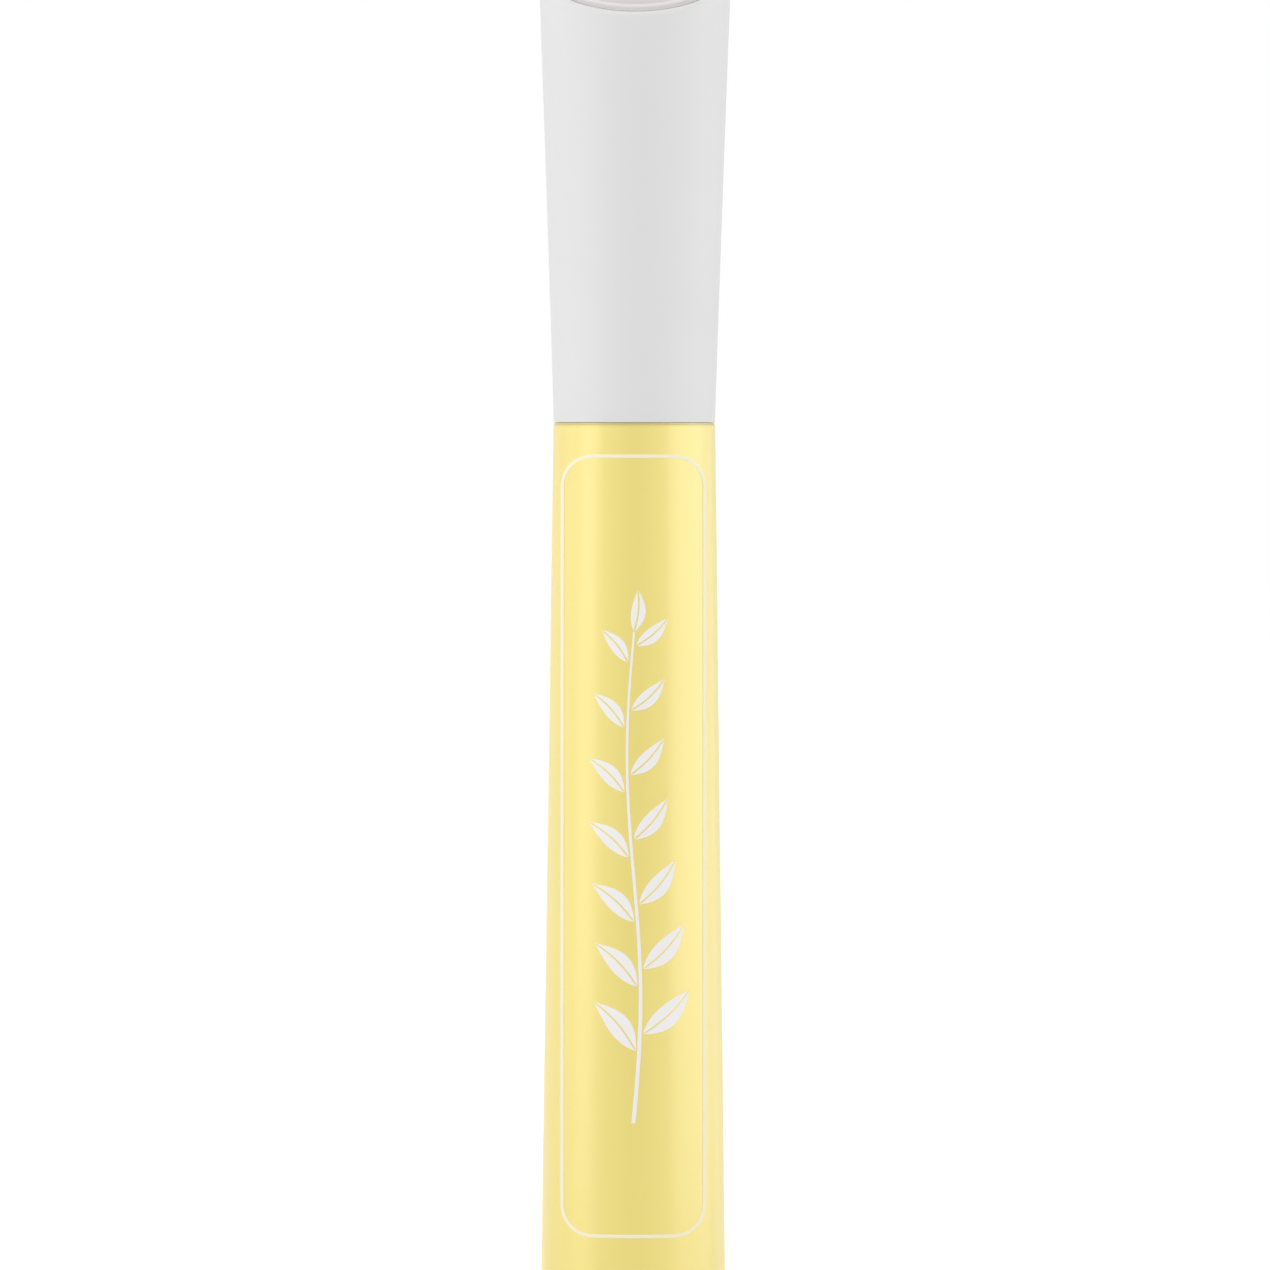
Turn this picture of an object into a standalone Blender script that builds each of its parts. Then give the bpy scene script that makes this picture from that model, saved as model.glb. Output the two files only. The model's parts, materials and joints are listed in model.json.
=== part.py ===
"""A twist-up cuticle remover pen: flared cap, flared barrel and the dosing works inside.

The pen stands on its flat base with the origin at the centre of that base. +Z runs up the pen's
axis to the cap, and the low edge of the cap's slanted end faces -Y. Lengths are in metres.
"""
import math

import bmesh
import bpy
from mathutils import Matrix, Vector

# Outer form
KNOB_HEIGHT = 0.0080
BARREL_LENGTH = 0.0740
CAP_LENGTH = 0.0392
BASE_RADIUS = 0.00812
SHOULDER_RADIUS = 0.00703
LIP_STEP = 0.00002
LIP_EDGE = 0.0002
LAND_RISE = 0.0005
CAP_END_EXTRA = 0.00026
CAP_BOW = 0.000035
END_SLANT = math.radians(24)
EDGE_FILLET = 0.0004
SMALL_FILLET = 0.00015

# Clearances
SEAM_GAP = 0.0001
SEAT_GAP = 0.0003
RUN_GAP = 0.00015
CAP_FIT = 0.00025
RING_GAP = 0.00006
LAND_GAP = 0.0001
LID_GAP = 0.0001
END_GAP = 0.0005
OVERRUN = 0.001

# Barrel
BARREL_WALL = 0.0011
REAR_WALL = 0.00095
SHOULDER_THICKNESS = 0.0012

# Front collar and its ring
COLLAR_STEP = 0.0008
COLLAR_WALL = 0.0011
COLLAR_FLANGE = 0.0012
COLLAR_DROP = 0.0015
COLLAR_RING_RISE = 0.0035
RING_THICKNESS = 0.0007

# Cartridge
CHAMBER_WALL = 0.0006
CHAMBER_FRONT = 0.0012
NECK_WALL = 0.0008
NECK_HEIGHT = 0.0080

# Applicator
GASKET_THICKNESS = 0.0006
HOLDER_FLANGE = 0.0011
HOLDER_FLANGE_LIP = 0.0012
HOLDER_CONE_STEP = 0.0008
HOLDER_PLUG_DEPTH = 0.0076
HOLDER_END_WALL = 0.00085
FEED_RADIUS = 0.0010
FEED_BORE = 0.00055
FEED_REACH = 0.0020
TIP_ROOT_RADIUS = 0.0019
TIP_ROOT_DEPTH = 0.0045
TIP_HEIGHT = 0.0085
TIP_BELLY = 0.0001
TIP_FACE_RISE = 0.0056
TIP_HEADROOM = 0.0066
TIP_SLANT = math.radians(50)

# Cap
CAP_WALL = 0.0009
RIM_WALL = 0.0006
MOUTH_LENGTH = 0.0083
LINER_WALL = 0.0007
LINER_TOP = 0.0010
LINER_STEP = 0.0010
SEAL_HEIGHT = 0.0022
LID_THICKNESS = 0.0010
LID_SKIRT = 0.0016
LID_SKIRT_WALL = 0.0009
LID_RIM_WIDTH = 0.00098
LID_BEAD_WIDTH = 0.00056
LID_BEAD_HEIGHT = 0.00028
LID_DISH = 0.00015

# Piston and screw
PISTON_LENGTH = 0.0080
PISTON_LIP = 0.0009
PISTON_WAIST = 0.0005
PISTON_NOSE = 0.0012
SCREW_RADIUS = 0.0026
SCREW_CORE = 0.0019
SCREW_FLAT = 0.0018
SCREW_GRIP = 0.0040
LEAD = 0.0030
RIDGE_ROOT_WIDTH = 0.0015
RIDGE_CREST_WIDTH = 0.0009
HEAD_RADIUS = 0.0024
HEAD_HEIGHT = 0.0016
HEAD_NECK_RADIUS = 0.0015
HEAD_NECK_HEIGHT = 0.0016
CLIP_DEPTH = 0.0010

# Nut, bushing and ratchet
NUT_FLANGE = 0.0040
NUT_SPIGOT = 0.0030
BUSHING_WALL = 0.0010
BUSHING_WEB = 0.0015
RATCHET_HEIGHT = 0.0032
RATCHET_RIM = 0.0006
TOOTH_DEPTH = 0.0004
TEETH = 18
PAWL_HUB_WALL = 0.0008
PAWL_ARM_THICKNESS = 0.00045
PAWL_INSET = 0.0002
PAWL_ARMS = 2
PAWL_SWEEP = math.radians(115)
KEY_WIDTH = 0.0008
KEY_HEIGHT = 0.0004

# Knob
KNOB_WALL = 0.0012
KNOB_DECK = 0.0015
PLUG_HEIGHT = 0.0022
PLUG_CHAMFER = 0.0003
SPIGOT_LENGTH = 0.0100
SPIGOT_WALL = 0.0012
KNOB_RING_RISE = 0.0030
RETAINER_RISE = 0.0065
RETAINER_HEIGHT = 0.0008
RETAINER_DEPTH = 0.0005
RETAINER_BITE = 0.00025
RETAINER_SPLIT = 0.0024
SLEEVE_WALL = 0.00075
SLEEVE_FLANGE = 0.0012
SCREW_FOOT = 0.0010

# Facets
OUTER_SEGMENTS = 40
INNER_SEGMENTS = 28
SMALL_SEGMENTS = 20
THREAD_SEGMENTS = 16
RING_SIDES = 6
EDGE_STEPS = 3
CORNER_STEPS = 1
BEAD_STEPS = 4
DOME_STEPS = 5
ARM_STEPS = 8
CAP_RINGS = 6
MERGE_DISTANCE = 0.00001
SMOOTH_ANGLE = math.radians(35)

# Colours
CAP_GREY = (0.78, 0.78, 0.78)
LID_GREY = (0.76, 0.73, 0.72)
BARREL_YELLOW = (0.87, 0.72, 0.24)
COLLAR_YELLOW = (0.80, 0.64, 0.20)
CLEAR_WHITE = (0.86, 0.88, 0.88)
HOLDER_WHITE = (0.90, 0.90, 0.89)
TIP_PINK = (0.88, 0.60, 0.58)
SEAL_WHITE = (0.80, 0.80, 0.78)
RING_BLACK = (0.05, 0.05, 0.05)
WORKS_GREY = (0.62, 0.64, 0.66)
WORKS_BLUE = (0.45, 0.60, 0.72)
SPRING_STEEL = (0.70, 0.70, 0.72)

# Roughness
POLISHED = 0.22
SATIN = 0.30
PLAIN = 0.40
SOFT = 0.60

# The cap follows the barrel at its mouth and the base at its flared end
lip_radius = SHOULDER_RADIUS - LIP_STEP
cap_end_radius = BASE_RADIUS + CAP_END_EXTRA

# Heights along the pen
shoulder_z = KNOB_HEIGHT + BARREL_LENGTH
land_z = shoulder_z + LAND_RISE
lip_z = shoulder_z + SEAM_GAP
face_z = shoulder_z + CAP_LENGTH
collar_z = shoulder_z - SHOULDER_THICKNESS - SEAT_GAP - COLLAR_FLANGE
chamber_top_z = collar_z - SEAT_GAP
chamber_front_z = chamber_top_z - CHAMBER_FRONT
sleeve_z = PLUG_HEIGHT + SEAT_GAP
deck_z = sleeve_z + SLEEVE_FLANGE + SEAT_GAP
screw_z = sleeve_z + SCREW_FOOT
piston_room = chamber_front_z - END_GAP - PISTON_LENGTH - END_GAP - NUT_SPIGOT - NUT_FLANGE
travel = (piston_room - SEAT_GAP - SCREW_GRIP - screw_z) / 2
piston_z = chamber_front_z - END_GAP - PISTON_LENGTH - travel
nut_z = piston_z - END_GAP - NUT_SPIGOT - NUT_FLANGE
chamber_z = nut_z + NUT_FLANGE + SEAT_GAP
sleeve_top_z = nut_z - SEAT_GAP
spigot_top_z = KNOB_HEIGHT + SPIGOT_LENGTH
ratchet_z = spigot_top_z + SEAT_GAP
bushing_z = ratchet_z + RATCHET_HEIGHT + SEAT_GAP
neck_top_z = shoulder_z + NECK_HEIGHT
collar_top_z = neck_top_z - COLLAR_DROP
gasket_z = neck_top_z + RUN_GAP
holder_z = gasket_z + GASKET_THICKNESS + RUN_GAP
holder_cone_z = holder_z + HOLDER_FLANGE
seal_z = holder_cone_z + SEAT_GAP
ledge_z = seal_z + SEAL_HEIGHT + RUN_GAP
step_z = lip_z + MOUTH_LENGTH
liner_z = step_z + SEAT_GAP
lid_foot_z = face_z - LID_THICKNESS - LID_SKIRT
lid_seat_z = lid_foot_z - SEAT_GAP
liner_top_z = lid_foot_z - cap_end_radius * math.tan(END_SLANT) - SEAT_GAP
ceiling_z = liner_top_z - LINER_TOP
tip_z = ceiling_z - TIP_HEADROOM - TIP_HEIGHT
holder_top_z = tip_z - RUN_GAP


def pen_radius(z):
    """Outer radius of the knob and barrel, one straight taper from the base to the shoulder."""
    return BASE_RADIUS + (SHOULDER_RADIUS - BASE_RADIUS) * z / shoulder_z


def cap_radius(z):
    """Outer radius of the cap, which flares upward in a slightly hollow line."""
    share = (z - lip_z) / (face_z - lip_z)
    straight = lip_radius + (cap_end_radius - lip_radius) * share
    return straight - 4 * CAP_BOW * share * (1 - share)


# Radii, from the outside in
front_bore = SHOULDER_RADIUS - BARREL_WALL
rear_bore = pen_radius(chamber_z) - REAR_WALL
collar_radius = front_bore - COLLAR_STEP
collar_bore = collar_radius - COLLAR_WALL
neck_radius = collar_bore - SEAT_GAP
neck_bore = neck_radius - NECK_WALL
mouth_radius = collar_radius + CAP_FIT
recess_radius = lip_radius - LIP_EDGE
land_radius = recess_radius - LAND_GAP
chamber_radius = front_bore - SEAT_GAP
chamber_bore = chamber_radius - CHAMBER_WALL
liner_radius = cap_radius(step_z) - CAP_WALL - RUN_GAP
liner_bore = liner_radius - LINER_WALL
knob_cavity = BASE_RADIUS - KNOB_WALL
spigot_radius = rear_bore - RUN_GAP
spigot_bore = spigot_radius - SPIGOT_WALL
retainer_inner = spigot_radius - RETAINER_DEPTH
retainer_outer = rear_bore + RETAINER_BITE
sleeve_bore = SCREW_RADIUS + RUN_GAP
sleeve_radius = sleeve_bore + SLEEVE_WALL
insert_radius = rear_bore - RUN_GAP
holder_radius = neck_bore - RUN_GAP
holder_flange_radius = neck_radius + HOLDER_FLANGE_LIP
holder_cone_radius = holder_flange_radius - HOLDER_CONE_STEP
socket_radius = TIP_ROOT_RADIUS + RUN_GAP
holder_end_radius = socket_radius + HOLDER_END_WALL
feed_hole = FEED_RADIUS + RUN_GAP


def new_collection(name):
    """Make a collection in the scene."""
    collection = bpy.data.collections.new(name)
    bpy.context.scene.collection.children.link(collection)
    return collection


def clear_scene():
    """Remove whatever the scene holds."""
    for obj in list(bpy.data.objects):
        bpy.data.objects.remove(obj, do_unlink=True)


clear_scene()
pen = new_collection("cuticle_remover_pen")
cutters = new_collection("cutters")


def plastic(name, colour, roughness, metallic=0):
    """A Principled material."""
    material = bpy.data.materials.new(name)
    material.use_nodes = True
    shader = material.node_tree.nodes["Principled BSDF"]
    shader.inputs["Base Color"].default_value = (*colour, 1)
    shader.inputs["Roughness"].default_value = roughness
    shader.inputs["Metallic"].default_value = metallic
    return material


def rounded(corners, closed):
    """Turn (radius, height, fillet) corners into points, with an arc in place of each fillet."""
    points = []
    for i, corner in enumerate(corners):
        here = Vector(corner[:2])
        fillet = corner[2] if len(corner) > 2 else 0
        at_end = not closed and i in (0, len(corners) - 1)
        if fillet == 0 or at_end:
            points.append(here)
            continue
        to_last = Vector(corners[i - 1][:2]) - here
        to_next = Vector(corners[(i + 1) % len(corners)][:2]) - here
        half = to_last.angle(to_next) / 2
        reach = min(fillet / math.tan(half), to_last.length / 2, to_next.length / 2)
        middle = (to_last.normalized() + to_next.normalized()).normalized()
        centre = here + middle * reach / math.cos(half)
        start = here + to_last.normalized() * reach - centre
        turn = start.angle_signed(here + to_next.normalized() * reach - centre)
        steps = EDGE_STEPS if fillet >= EDGE_FILLET else CORNER_STEPS
        for step in range(steps + 1):
            arm = Matrix.Rotation(-turn * step / steps, 2) @ start
            points.append(centre + arm)
    return points


def turned(name, corners, segments, base_z=0, closed=True):
    """Turn a profile about Z. It runs down its outer side and back up its bore.

    An open profile starts and ends on the axis. Heights count from base_z.
    """
    points = rounded(corners, closed)
    edges = [(i, i + 1) for i in range(len(points) - 1)]
    if closed:
        edges.append((len(points) - 1, 0))
    mesh = bpy.data.meshes.new(name)
    mesh.from_pydata([(radius, 0, height - base_z) for radius, height in points], edges, [])
    obj = bpy.data.objects.new(name, mesh)
    obj.location.z = base_z
    pen.objects.link(obj)
    screw = obj.modifiers.new("Turn", "SCREW")
    screw.steps = segments
    screw.render_steps = segments
    screw.use_merge_vertices = True
    screw.merge_threshold = MERGE_DISTANCE
    return obj


def bar(name, radius, low_z, high_z, segments):
    """A plain round solid on the axis."""
    corners = [(0, high_z), (radius, high_z), (radius, low_z), (0, low_z)]
    return turned(name, corners, segments, low_z, closed=False)


def torus(name, radius, thickness, centre_z, segments):
    """A round sealing ring."""
    bpy.ops.mesh.primitive_torus_add(
        major_radius=radius,
        minor_radius=thickness / 2,
        major_segments=segments,
        minor_segments=RING_SIDES,
        location=(0, 0, centre_z),
    )
    return claimed(name)


def block(name, low, high):
    """A box between two corners."""
    bpy.ops.mesh.primitive_cube_add(size=1)
    obj = claimed(name)
    low = Vector(low)
    high = Vector(high)
    obj.data.transform(Matrix.Diagonal((*(high - low), 1)))
    obj.location = (low + high) / 2
    return obj


def claimed(name):
    """Name the object just added and put it in the pen's collection."""
    obj = bpy.context.active_object
    obj.name = name
    obj.data.name = name
    for collection in list(obj.users_collection):
        collection.objects.unlink(obj)
    pen.objects.link(obj)
    return obj


def baked(obj):
    """Replace an object's mesh by its evaluated shape."""
    bpy.context.view_layer.update()
    seen = obj.evaluated_get(bpy.context.evaluated_depsgraph_get())
    shape = bpy.data.meshes.new_from_object(seen)
    obj.modifiers.clear()
    obj.data = shape
    return obj


def combine(obj, other, operation):
    """Cut, trim or join an object with another, which then only serves as a guide."""
    pen.objects.unlink(other)
    cutters.objects.link(other)
    other.hide_render = True
    other.display_type = "WIRE"
    change = obj.modifiers.new(operation.title(), "BOOLEAN")
    change.operation = operation
    change.object = other
    return obj


def finished(obj, material, body):
    """Shade an object, give it its material and hang it on its body's empty."""
    baked(obj)
    obj.data.materials.clear()
    obj.data.materials.append(material)
    obj.data.shade_smooth()
    obj.data.set_sharp_from_angle(angle=SMOOTH_ANGLE)
    obj.parent = body
    obj.matrix_parent_inverse = body.matrix_world.inverted()
    return obj


def body_empty(name, z):
    """An empty on the pen's axis that carries one rigid body."""
    empty = bpy.data.objects.new(name, None)
    empty.location.z = z
    pen.objects.link(empty)
    bpy.context.view_layer.update()
    return empty


def slanted(obj, share_at):
    """Tilt the cap's upper end: heights shear with Y and the walls keep following the flare."""
    mesh = obj.data
    for vertex in mesh.vertices:
        z = vertex.co.z + obj.location.z
        radius = vertex.co.xy.length
        tilted_z = z + vertex.co.y * math.tan(END_SLANT) * share_at(z)
        if radius > 0:
            vertex.co.xy *= 1 + (cap_radius(tilted_z) - cap_radius(z)) / radius
        vertex.co.z = tilted_z - obj.location.z
    return obj


def thread(name, core, crest, root_width, crest_width, low_z, high_z):
    """A right-handed ridge wound round the axis, its flanks running on into the core."""
    dip_share = 0.5
    foot = core - (crest - core) * dip_share
    foot_width = root_width + (root_width - crest_width) * dip_share
    steps = math.ceil((high_z - low_z) / LEAD * THREAD_SEGMENTS)
    profile = [
        (foot, -foot_width / 2),
        (crest, -crest_width / 2),
        (crest, crest_width / 2),
        (foot, foot_width / 2),
    ]
    shape = bmesh.new()
    corners = [shape.verts.new((radius, 0, height)) for radius, height in profile]
    section = shape.faces.new(corners)
    bmesh.ops.spin(
        shape,
        geom=[*corners, *section.edges, section],
        axis=(0, 0, 1),
        dvec=(0, 0, LEAD / THREAD_SEGMENTS),
        angle=math.tau * steps / THREAD_SEGMENTS,
        steps=steps,
    )
    bmesh.ops.recalc_face_normals(shape, faces=shape.faces)
    mesh = bpy.data.meshes.new(name)
    shape.to_mesh(mesh)
    shape.free()
    obj = bpy.data.objects.new(name, mesh)
    obj.location.z = low_z
    pen.objects.link(obj)
    return obj


def flat_outline(name, outlines, low_z, height):
    """Extrude closed flat outlines, the inner ones being holes, into a plate."""
    curve = bpy.data.curves.new(name, "CURVE")
    curve.dimensions = "2D"
    curve.fill_mode = "BOTH"
    curve.extrude = height / 2
    for outline in outlines:
        spline = curve.splines.new("POLY")
        spline.points.add(len(outline) - 1)
        for point, (x, y) in zip(spline.points, outline):
            point.co = (x, y, 0, 1)
        spline.use_cyclic_u = True
    obj = bpy.data.objects.new(name, curve)
    bpy.context.view_layer.update()
    pen.objects.link(obj)
    seen = obj.evaluated_get(bpy.context.evaluated_depsgraph_get())
    mesh = bpy.data.meshes.new_from_object(seen)
    bpy.data.objects.remove(obj)
    shape = bmesh.new()
    shape.from_mesh(mesh)
    bmesh.ops.remove_doubles(shape, verts=shape.verts, dist=MERGE_DISTANCE)
    bmesh.ops.recalc_face_normals(shape, faces=shape.faces)
    shape.to_mesh(mesh)
    shape.free()
    plate = bpy.data.objects.new(name, mesh)
    plate.location.z = low_z + height / 2
    pen.objects.link(plate)
    return plate


def polar(radius, angle):
    """A point in the XY plane."""
    return radius * math.cos(angle), radius * math.sin(angle)


def circle(radius, segments):
    """A round outline."""
    return [polar(radius, math.tau * i / segments) for i in range(segments)]


def barrel_shell():
    """Flared outer barrel with a stepped bore, a snap groove and a shoulder with a land for the cap."""
    low = KNOB_HEIGHT + SEAM_GAP
    groove_low = KNOB_HEIGHT + RETAINER_RISE - RUN_GAP
    groove_high = KNOB_HEIGHT + RETAINER_RISE + RETAINER_HEIGHT + RUN_GAP
    groove = retainer_outer + RUN_GAP
    hole = collar_radius + RUN_GAP
    under_shoulder = shoulder_z - SHOULDER_THICKNESS
    corners = [
        (land_radius, land_z),
        (land_radius, shoulder_z),
        (pen_radius(shoulder_z), shoulder_z, SMALL_FILLET),
        (pen_radius(low), low, SMALL_FILLET),
        (rear_bore, low),
        (rear_bore, groove_low),
        (groove, groove_low),
        (groove, groove_high),
        (rear_bore, groove_high),
        (rear_bore, chamber_z),
        (front_bore, chamber_z),
        (front_bore, under_shoulder),
        (hole, under_shoulder),
        (hole, land_z),
    ]
    return turned("barrel_shell", corners, OUTER_SEGMENTS, low)


def collar_ring_radius():
    """Centre radius of the ring on the collar, which just clears the cap's mouth."""
    return mouth_radius - RING_GAP - RING_THICKNESS / 2


def front_collar():
    """Collar that stands out of the shoulder and takes the cap."""
    flange_top = collar_z + COLLAR_FLANGE
    groove = collar_ring_radius() - RING_THICKNESS / 2 - RING_GAP
    ring_z = shoulder_z + COLLAR_RING_RISE
    half_groove = RING_THICKNESS / 2 + RUN_GAP
    corners = [
        (collar_radius, collar_top_z, SMALL_FILLET),
        (collar_radius, ring_z + half_groove),
        (groove, ring_z + half_groove),
        (groove, ring_z - half_groove),
        (collar_radius, ring_z - half_groove),
        (collar_radius, flange_top),
        (front_bore - RUN_GAP, flange_top),
        (front_bore - RUN_GAP, collar_z),
        (collar_bore, collar_z),
        (collar_bore, collar_top_z),
    ]
    return turned("front_collar", corners, INNER_SEGMENTS, collar_z)


def collar_o_ring():
    """Ring on the collar that grips the cap."""
    ring_z = shoulder_z + COLLAR_RING_RISE
    return torus("collar_o_ring", collar_ring_radius(), RING_THICKNESS, ring_z, INNER_SEGMENTS)


def chamber_tube():
    """Cartridge: a straight cylinder for the piston, closed in front down to its neck."""
    corners = [
        (neck_radius, neck_top_z),
        (neck_radius, chamber_top_z),
        (chamber_radius, chamber_top_z, SMALL_FILLET),
        (chamber_radius, chamber_z),
        (chamber_bore, chamber_z),
        (chamber_bore, chamber_front_z),
        (neck_bore, chamber_front_z),
        (neck_bore, neck_top_z),
    ]
    return turned("chamber_tube", corners, INNER_SEGMENTS, chamber_z)


def neck_gasket():
    """Washer between the cartridge's neck and the holder."""
    top = gasket_z + GASKET_THICKNESS
    corners = [(neck_radius, top), (neck_radius, gasket_z), (neck_bore, gasket_z), (neck_bore, top)]
    return turned("neck_gasket", corners, INNER_SEGMENTS, gasket_z)


def tip_holder():
    """Holder that plugs into the neck and carries the tip in a socket."""
    plug_z = holder_z - HOLDER_PLUG_DEPTH
    socket_z = holder_top_z - TIP_ROOT_DEPTH
    corners = [
        (holder_end_radius, holder_top_z, SMALL_FILLET),
        (holder_cone_radius, holder_cone_z),
        (holder_flange_radius, holder_cone_z, SMALL_FILLET),
        (holder_flange_radius, holder_z),
        (holder_radius, holder_z),
        (holder_radius, plug_z),
        (feed_hole, plug_z),
        (feed_hole, socket_z),
        (socket_radius, socket_z),
        (socket_radius, holder_top_z),
    ]
    return turned("tip_holder", corners, INNER_SEGMENTS, plug_z)


def feed_tube():
    """Thin tube from the cartridge's neck to the tip."""
    low = holder_z - HOLDER_PLUG_DEPTH
    top = holder_top_z - TIP_ROOT_DEPTH + FEED_REACH
    corners = [(FEED_RADIUS, top), (FEED_RADIUS, low), (FEED_BORE, low), (FEED_BORE, top)]
    return turned("feed_tube", corners, SMALL_SEGMENTS, low)


def tip_outline():
    """Root, belly and dome of the tip before its face is cut, from the dome down."""
    belly = holder_end_radius + TIP_BELLY
    dome = TIP_HEIGHT / 2
    root_z = holder_top_z - TIP_ROOT_DEPTH + RUN_GAP
    corners = []
    for step in range(DOME_STEPS + 1):
        angle = math.pi / 2 * (1 - step / DOME_STEPS)
        corners.append((belly * math.cos(angle), tip_z + TIP_HEIGHT - dome * (1 - math.sin(angle))))
    corners[0] = (0, tip_z + TIP_HEIGHT)
    corners.append((holder_end_radius, tip_z))
    corners.append((TIP_ROOT_RADIUS, tip_z))
    corners.append((TIP_ROOT_RADIUS, root_z))
    corners.append((0, root_z))
    return corners, root_z


def applicator_tip():
    """Soft hoof with a slanted face and a duct that opens in it."""
    corners, root_z = tip_outline()
    tip = turned("applicator_tip", corners, SMALL_SEGMENTS, root_z, closed=False)
    side = TIP_HEIGHT * 2
    face = block("tip_face_cut", (-side, -side, 0), (side, side, side))
    face.location = (0, 0, tip_z + TIP_FACE_RISE)
    face.data.transform(Matrix.Translation((0, 0, side / 2)))
    face.rotation_euler.x = TIP_SLANT
    combine(tip, face, "DIFFERENCE")
    duct = bar("tip_duct_cut", FEED_BORE, root_z - OVERRUN, tip_z + TIP_HEIGHT, SMALL_SEGMENTS // 2)
    combine(tip, duct, "DIFFERENCE")
    top = holder_top_z - TIP_ROOT_DEPTH + FEED_REACH + RUN_GAP
    seat = bar("tip_feed_cut", feed_hole, root_z - OVERRUN, top, SMALL_SEGMENTS // 2)
    return combine(tip, seat, "DIFFERENCE")


def piston():
    """Piston with a sealing lip at each end and a clip for the screw's head."""
    lip = chamber_bore - RUN_GAP
    waist = lip - PISTON_WAIST
    top = piston_z + PISTON_LENGTH
    clip = HEAD_NECK_RADIUS + RUN_GAP * 2
    room = HEAD_RADIUS + RUN_GAP * 2
    clip_top = piston_z + CLIP_DEPTH + HEAD_NECK_HEIGHT - RUN_GAP * 2
    clip_low = piston_z + CLIP_DEPTH
    room_top = clip_top + HEAD_HEIGHT + RUN_GAP * 4
    corners = [
        (0, top),
        (lip - PISTON_NOSE, top),
        (lip, top - PISTON_NOSE / 2),
        (lip, top - PISTON_NOSE / 2 - PISTON_LIP),
        (waist, top - PISTON_NOSE / 2 - PISTON_LIP - PISTON_WAIST),
        (waist, piston_z + PISTON_LIP + PISTON_WAIST),
        (lip, piston_z + PISTON_LIP),
        (lip, piston_z),
        ((room + lip) / 2, piston_z),
        (room, clip_low),
        (clip, clip_low),
        (clip, clip_top),
        (room, clip_top),
        (room, room_top),
        (0, room_top),
    ]
    return turned("piston", corners, INNER_SEGMENTS, piston_z, closed=False)


def screw_rod():
    """Screw with two flats and a button head that turns inside the piston."""
    shank_top = piston_z + CLIP_DEPTH - RUN_GAP * 2
    head_z = shank_top + HEAD_NECK_HEIGHT + RUN_GAP
    head_top = head_z + HEAD_HEIGHT
    corners = [
        (0, head_top),
        (HEAD_RADIUS - SMALL_FILLET, head_top),
        (HEAD_RADIUS, head_top - SMALL_FILLET),
        (HEAD_RADIUS, head_z),
        (HEAD_NECK_RADIUS, head_z),
        (HEAD_NECK_RADIUS, shank_top),
        (SCREW_CORE, shank_top),
        (SCREW_CORE, screw_z),
        (0, screw_z),
    ]
    rod = turned("screw_rod", corners, THREAD_SEGMENTS, screw_z, closed=False)
    rod.rotation_euler.z = math.pi / THREAD_SEGMENTS
    ridge = thread(
        "screw_ridge",
        SCREW_CORE,
        SCREW_RADIUS,
        RIDGE_ROOT_WIDTH,
        RIDGE_CREST_WIDTH,
        thread_start(screw_z),
        shank_top - LEAD,
    )
    combine(rod, ridge, "UNION")
    flats_top = shank_top + HEAD_NECK_HEIGHT / 2
    for side in (-1, 1):
        inner = side * SCREW_FLAT
        outer = side * (SCREW_RADIUS + OVERRUN)
        low = (min(inner, outer), -SCREW_RADIUS - OVERRUN, screw_z - OVERRUN)
        high = (max(inner, outer), SCREW_RADIUS + OVERRUN, flats_top)
        combine(rod, block("screw_flat_cut", low, high), "DIFFERENCE")
    return rod


def thread_start(z):
    """First height above z at which the common helix passes the +X side."""
    turns = math.ceil((z + RIDGE_ROOT_WIDTH / 2 - nut_z) / LEAD)
    return nut_z + turns * LEAD


def thread_nut():
    """Nut that sits on the barrel's step, centres the cartridge and carries the inner thread."""
    flange_top = nut_z + NUT_FLANGE
    top = flange_top + NUT_SPIGOT
    bore = SCREW_CORE + RUN_GAP
    corners = [
        (chamber_bore - RUN_GAP, top, SMALL_FILLET),
        (chamber_bore - RUN_GAP, flange_top),
        (insert_radius, flange_top),
        (insert_radius, nut_z),
        (bore, nut_z),
        (bore, top),
    ]
    nut = turned("thread_nut", corners, INNER_SEGMENTS, nut_z)
    groove = thread(
        "nut_thread_cut",
        bore,
        SCREW_RADIUS + RUN_GAP,
        RIDGE_ROOT_WIDTH + RUN_GAP * 2,
        RIDGE_CREST_WIDTH + RUN_GAP * 2,
        nut_z - LEAD,
        top + LEAD,
    )
    return combine(nut, groove, "DIFFERENCE")


def rear_bushing():
    """Tube that holds the nut against its step and guides the drive sleeve."""
    top = nut_z - SEAT_GAP
    bore = insert_radius - BUSHING_WALL
    guide = sleeve_radius + RUN_GAP
    corners = [
        (insert_radius, top, SMALL_FILLET),
        (insert_radius, bushing_z, SMALL_FILLET),
        (bore, bushing_z),
        (bore, top - BUSHING_WEB),
        (guide, top - BUSHING_WEB),
        (guide, top),
    ]
    return turned("rear_bushing", corners, INNER_SEGMENTS, bushing_z)


def ratchet_ring():
    """Fixed ring with saw teeth on its inside."""
    root = insert_radius - RATCHET_RIM
    teeth = []
    for tooth in range(TEETH):
        angle = math.tau * tooth / TEETH
        teeth.append(polar(root, angle))
        teeth.append(polar(root - TOOTH_DEPTH, angle))
    outlines = [circle(insert_radius, INNER_SEGMENTS), teeth]
    return flat_outline("ratchet_ring", outlines, ratchet_z, RATCHET_HEIGHT)


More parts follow.
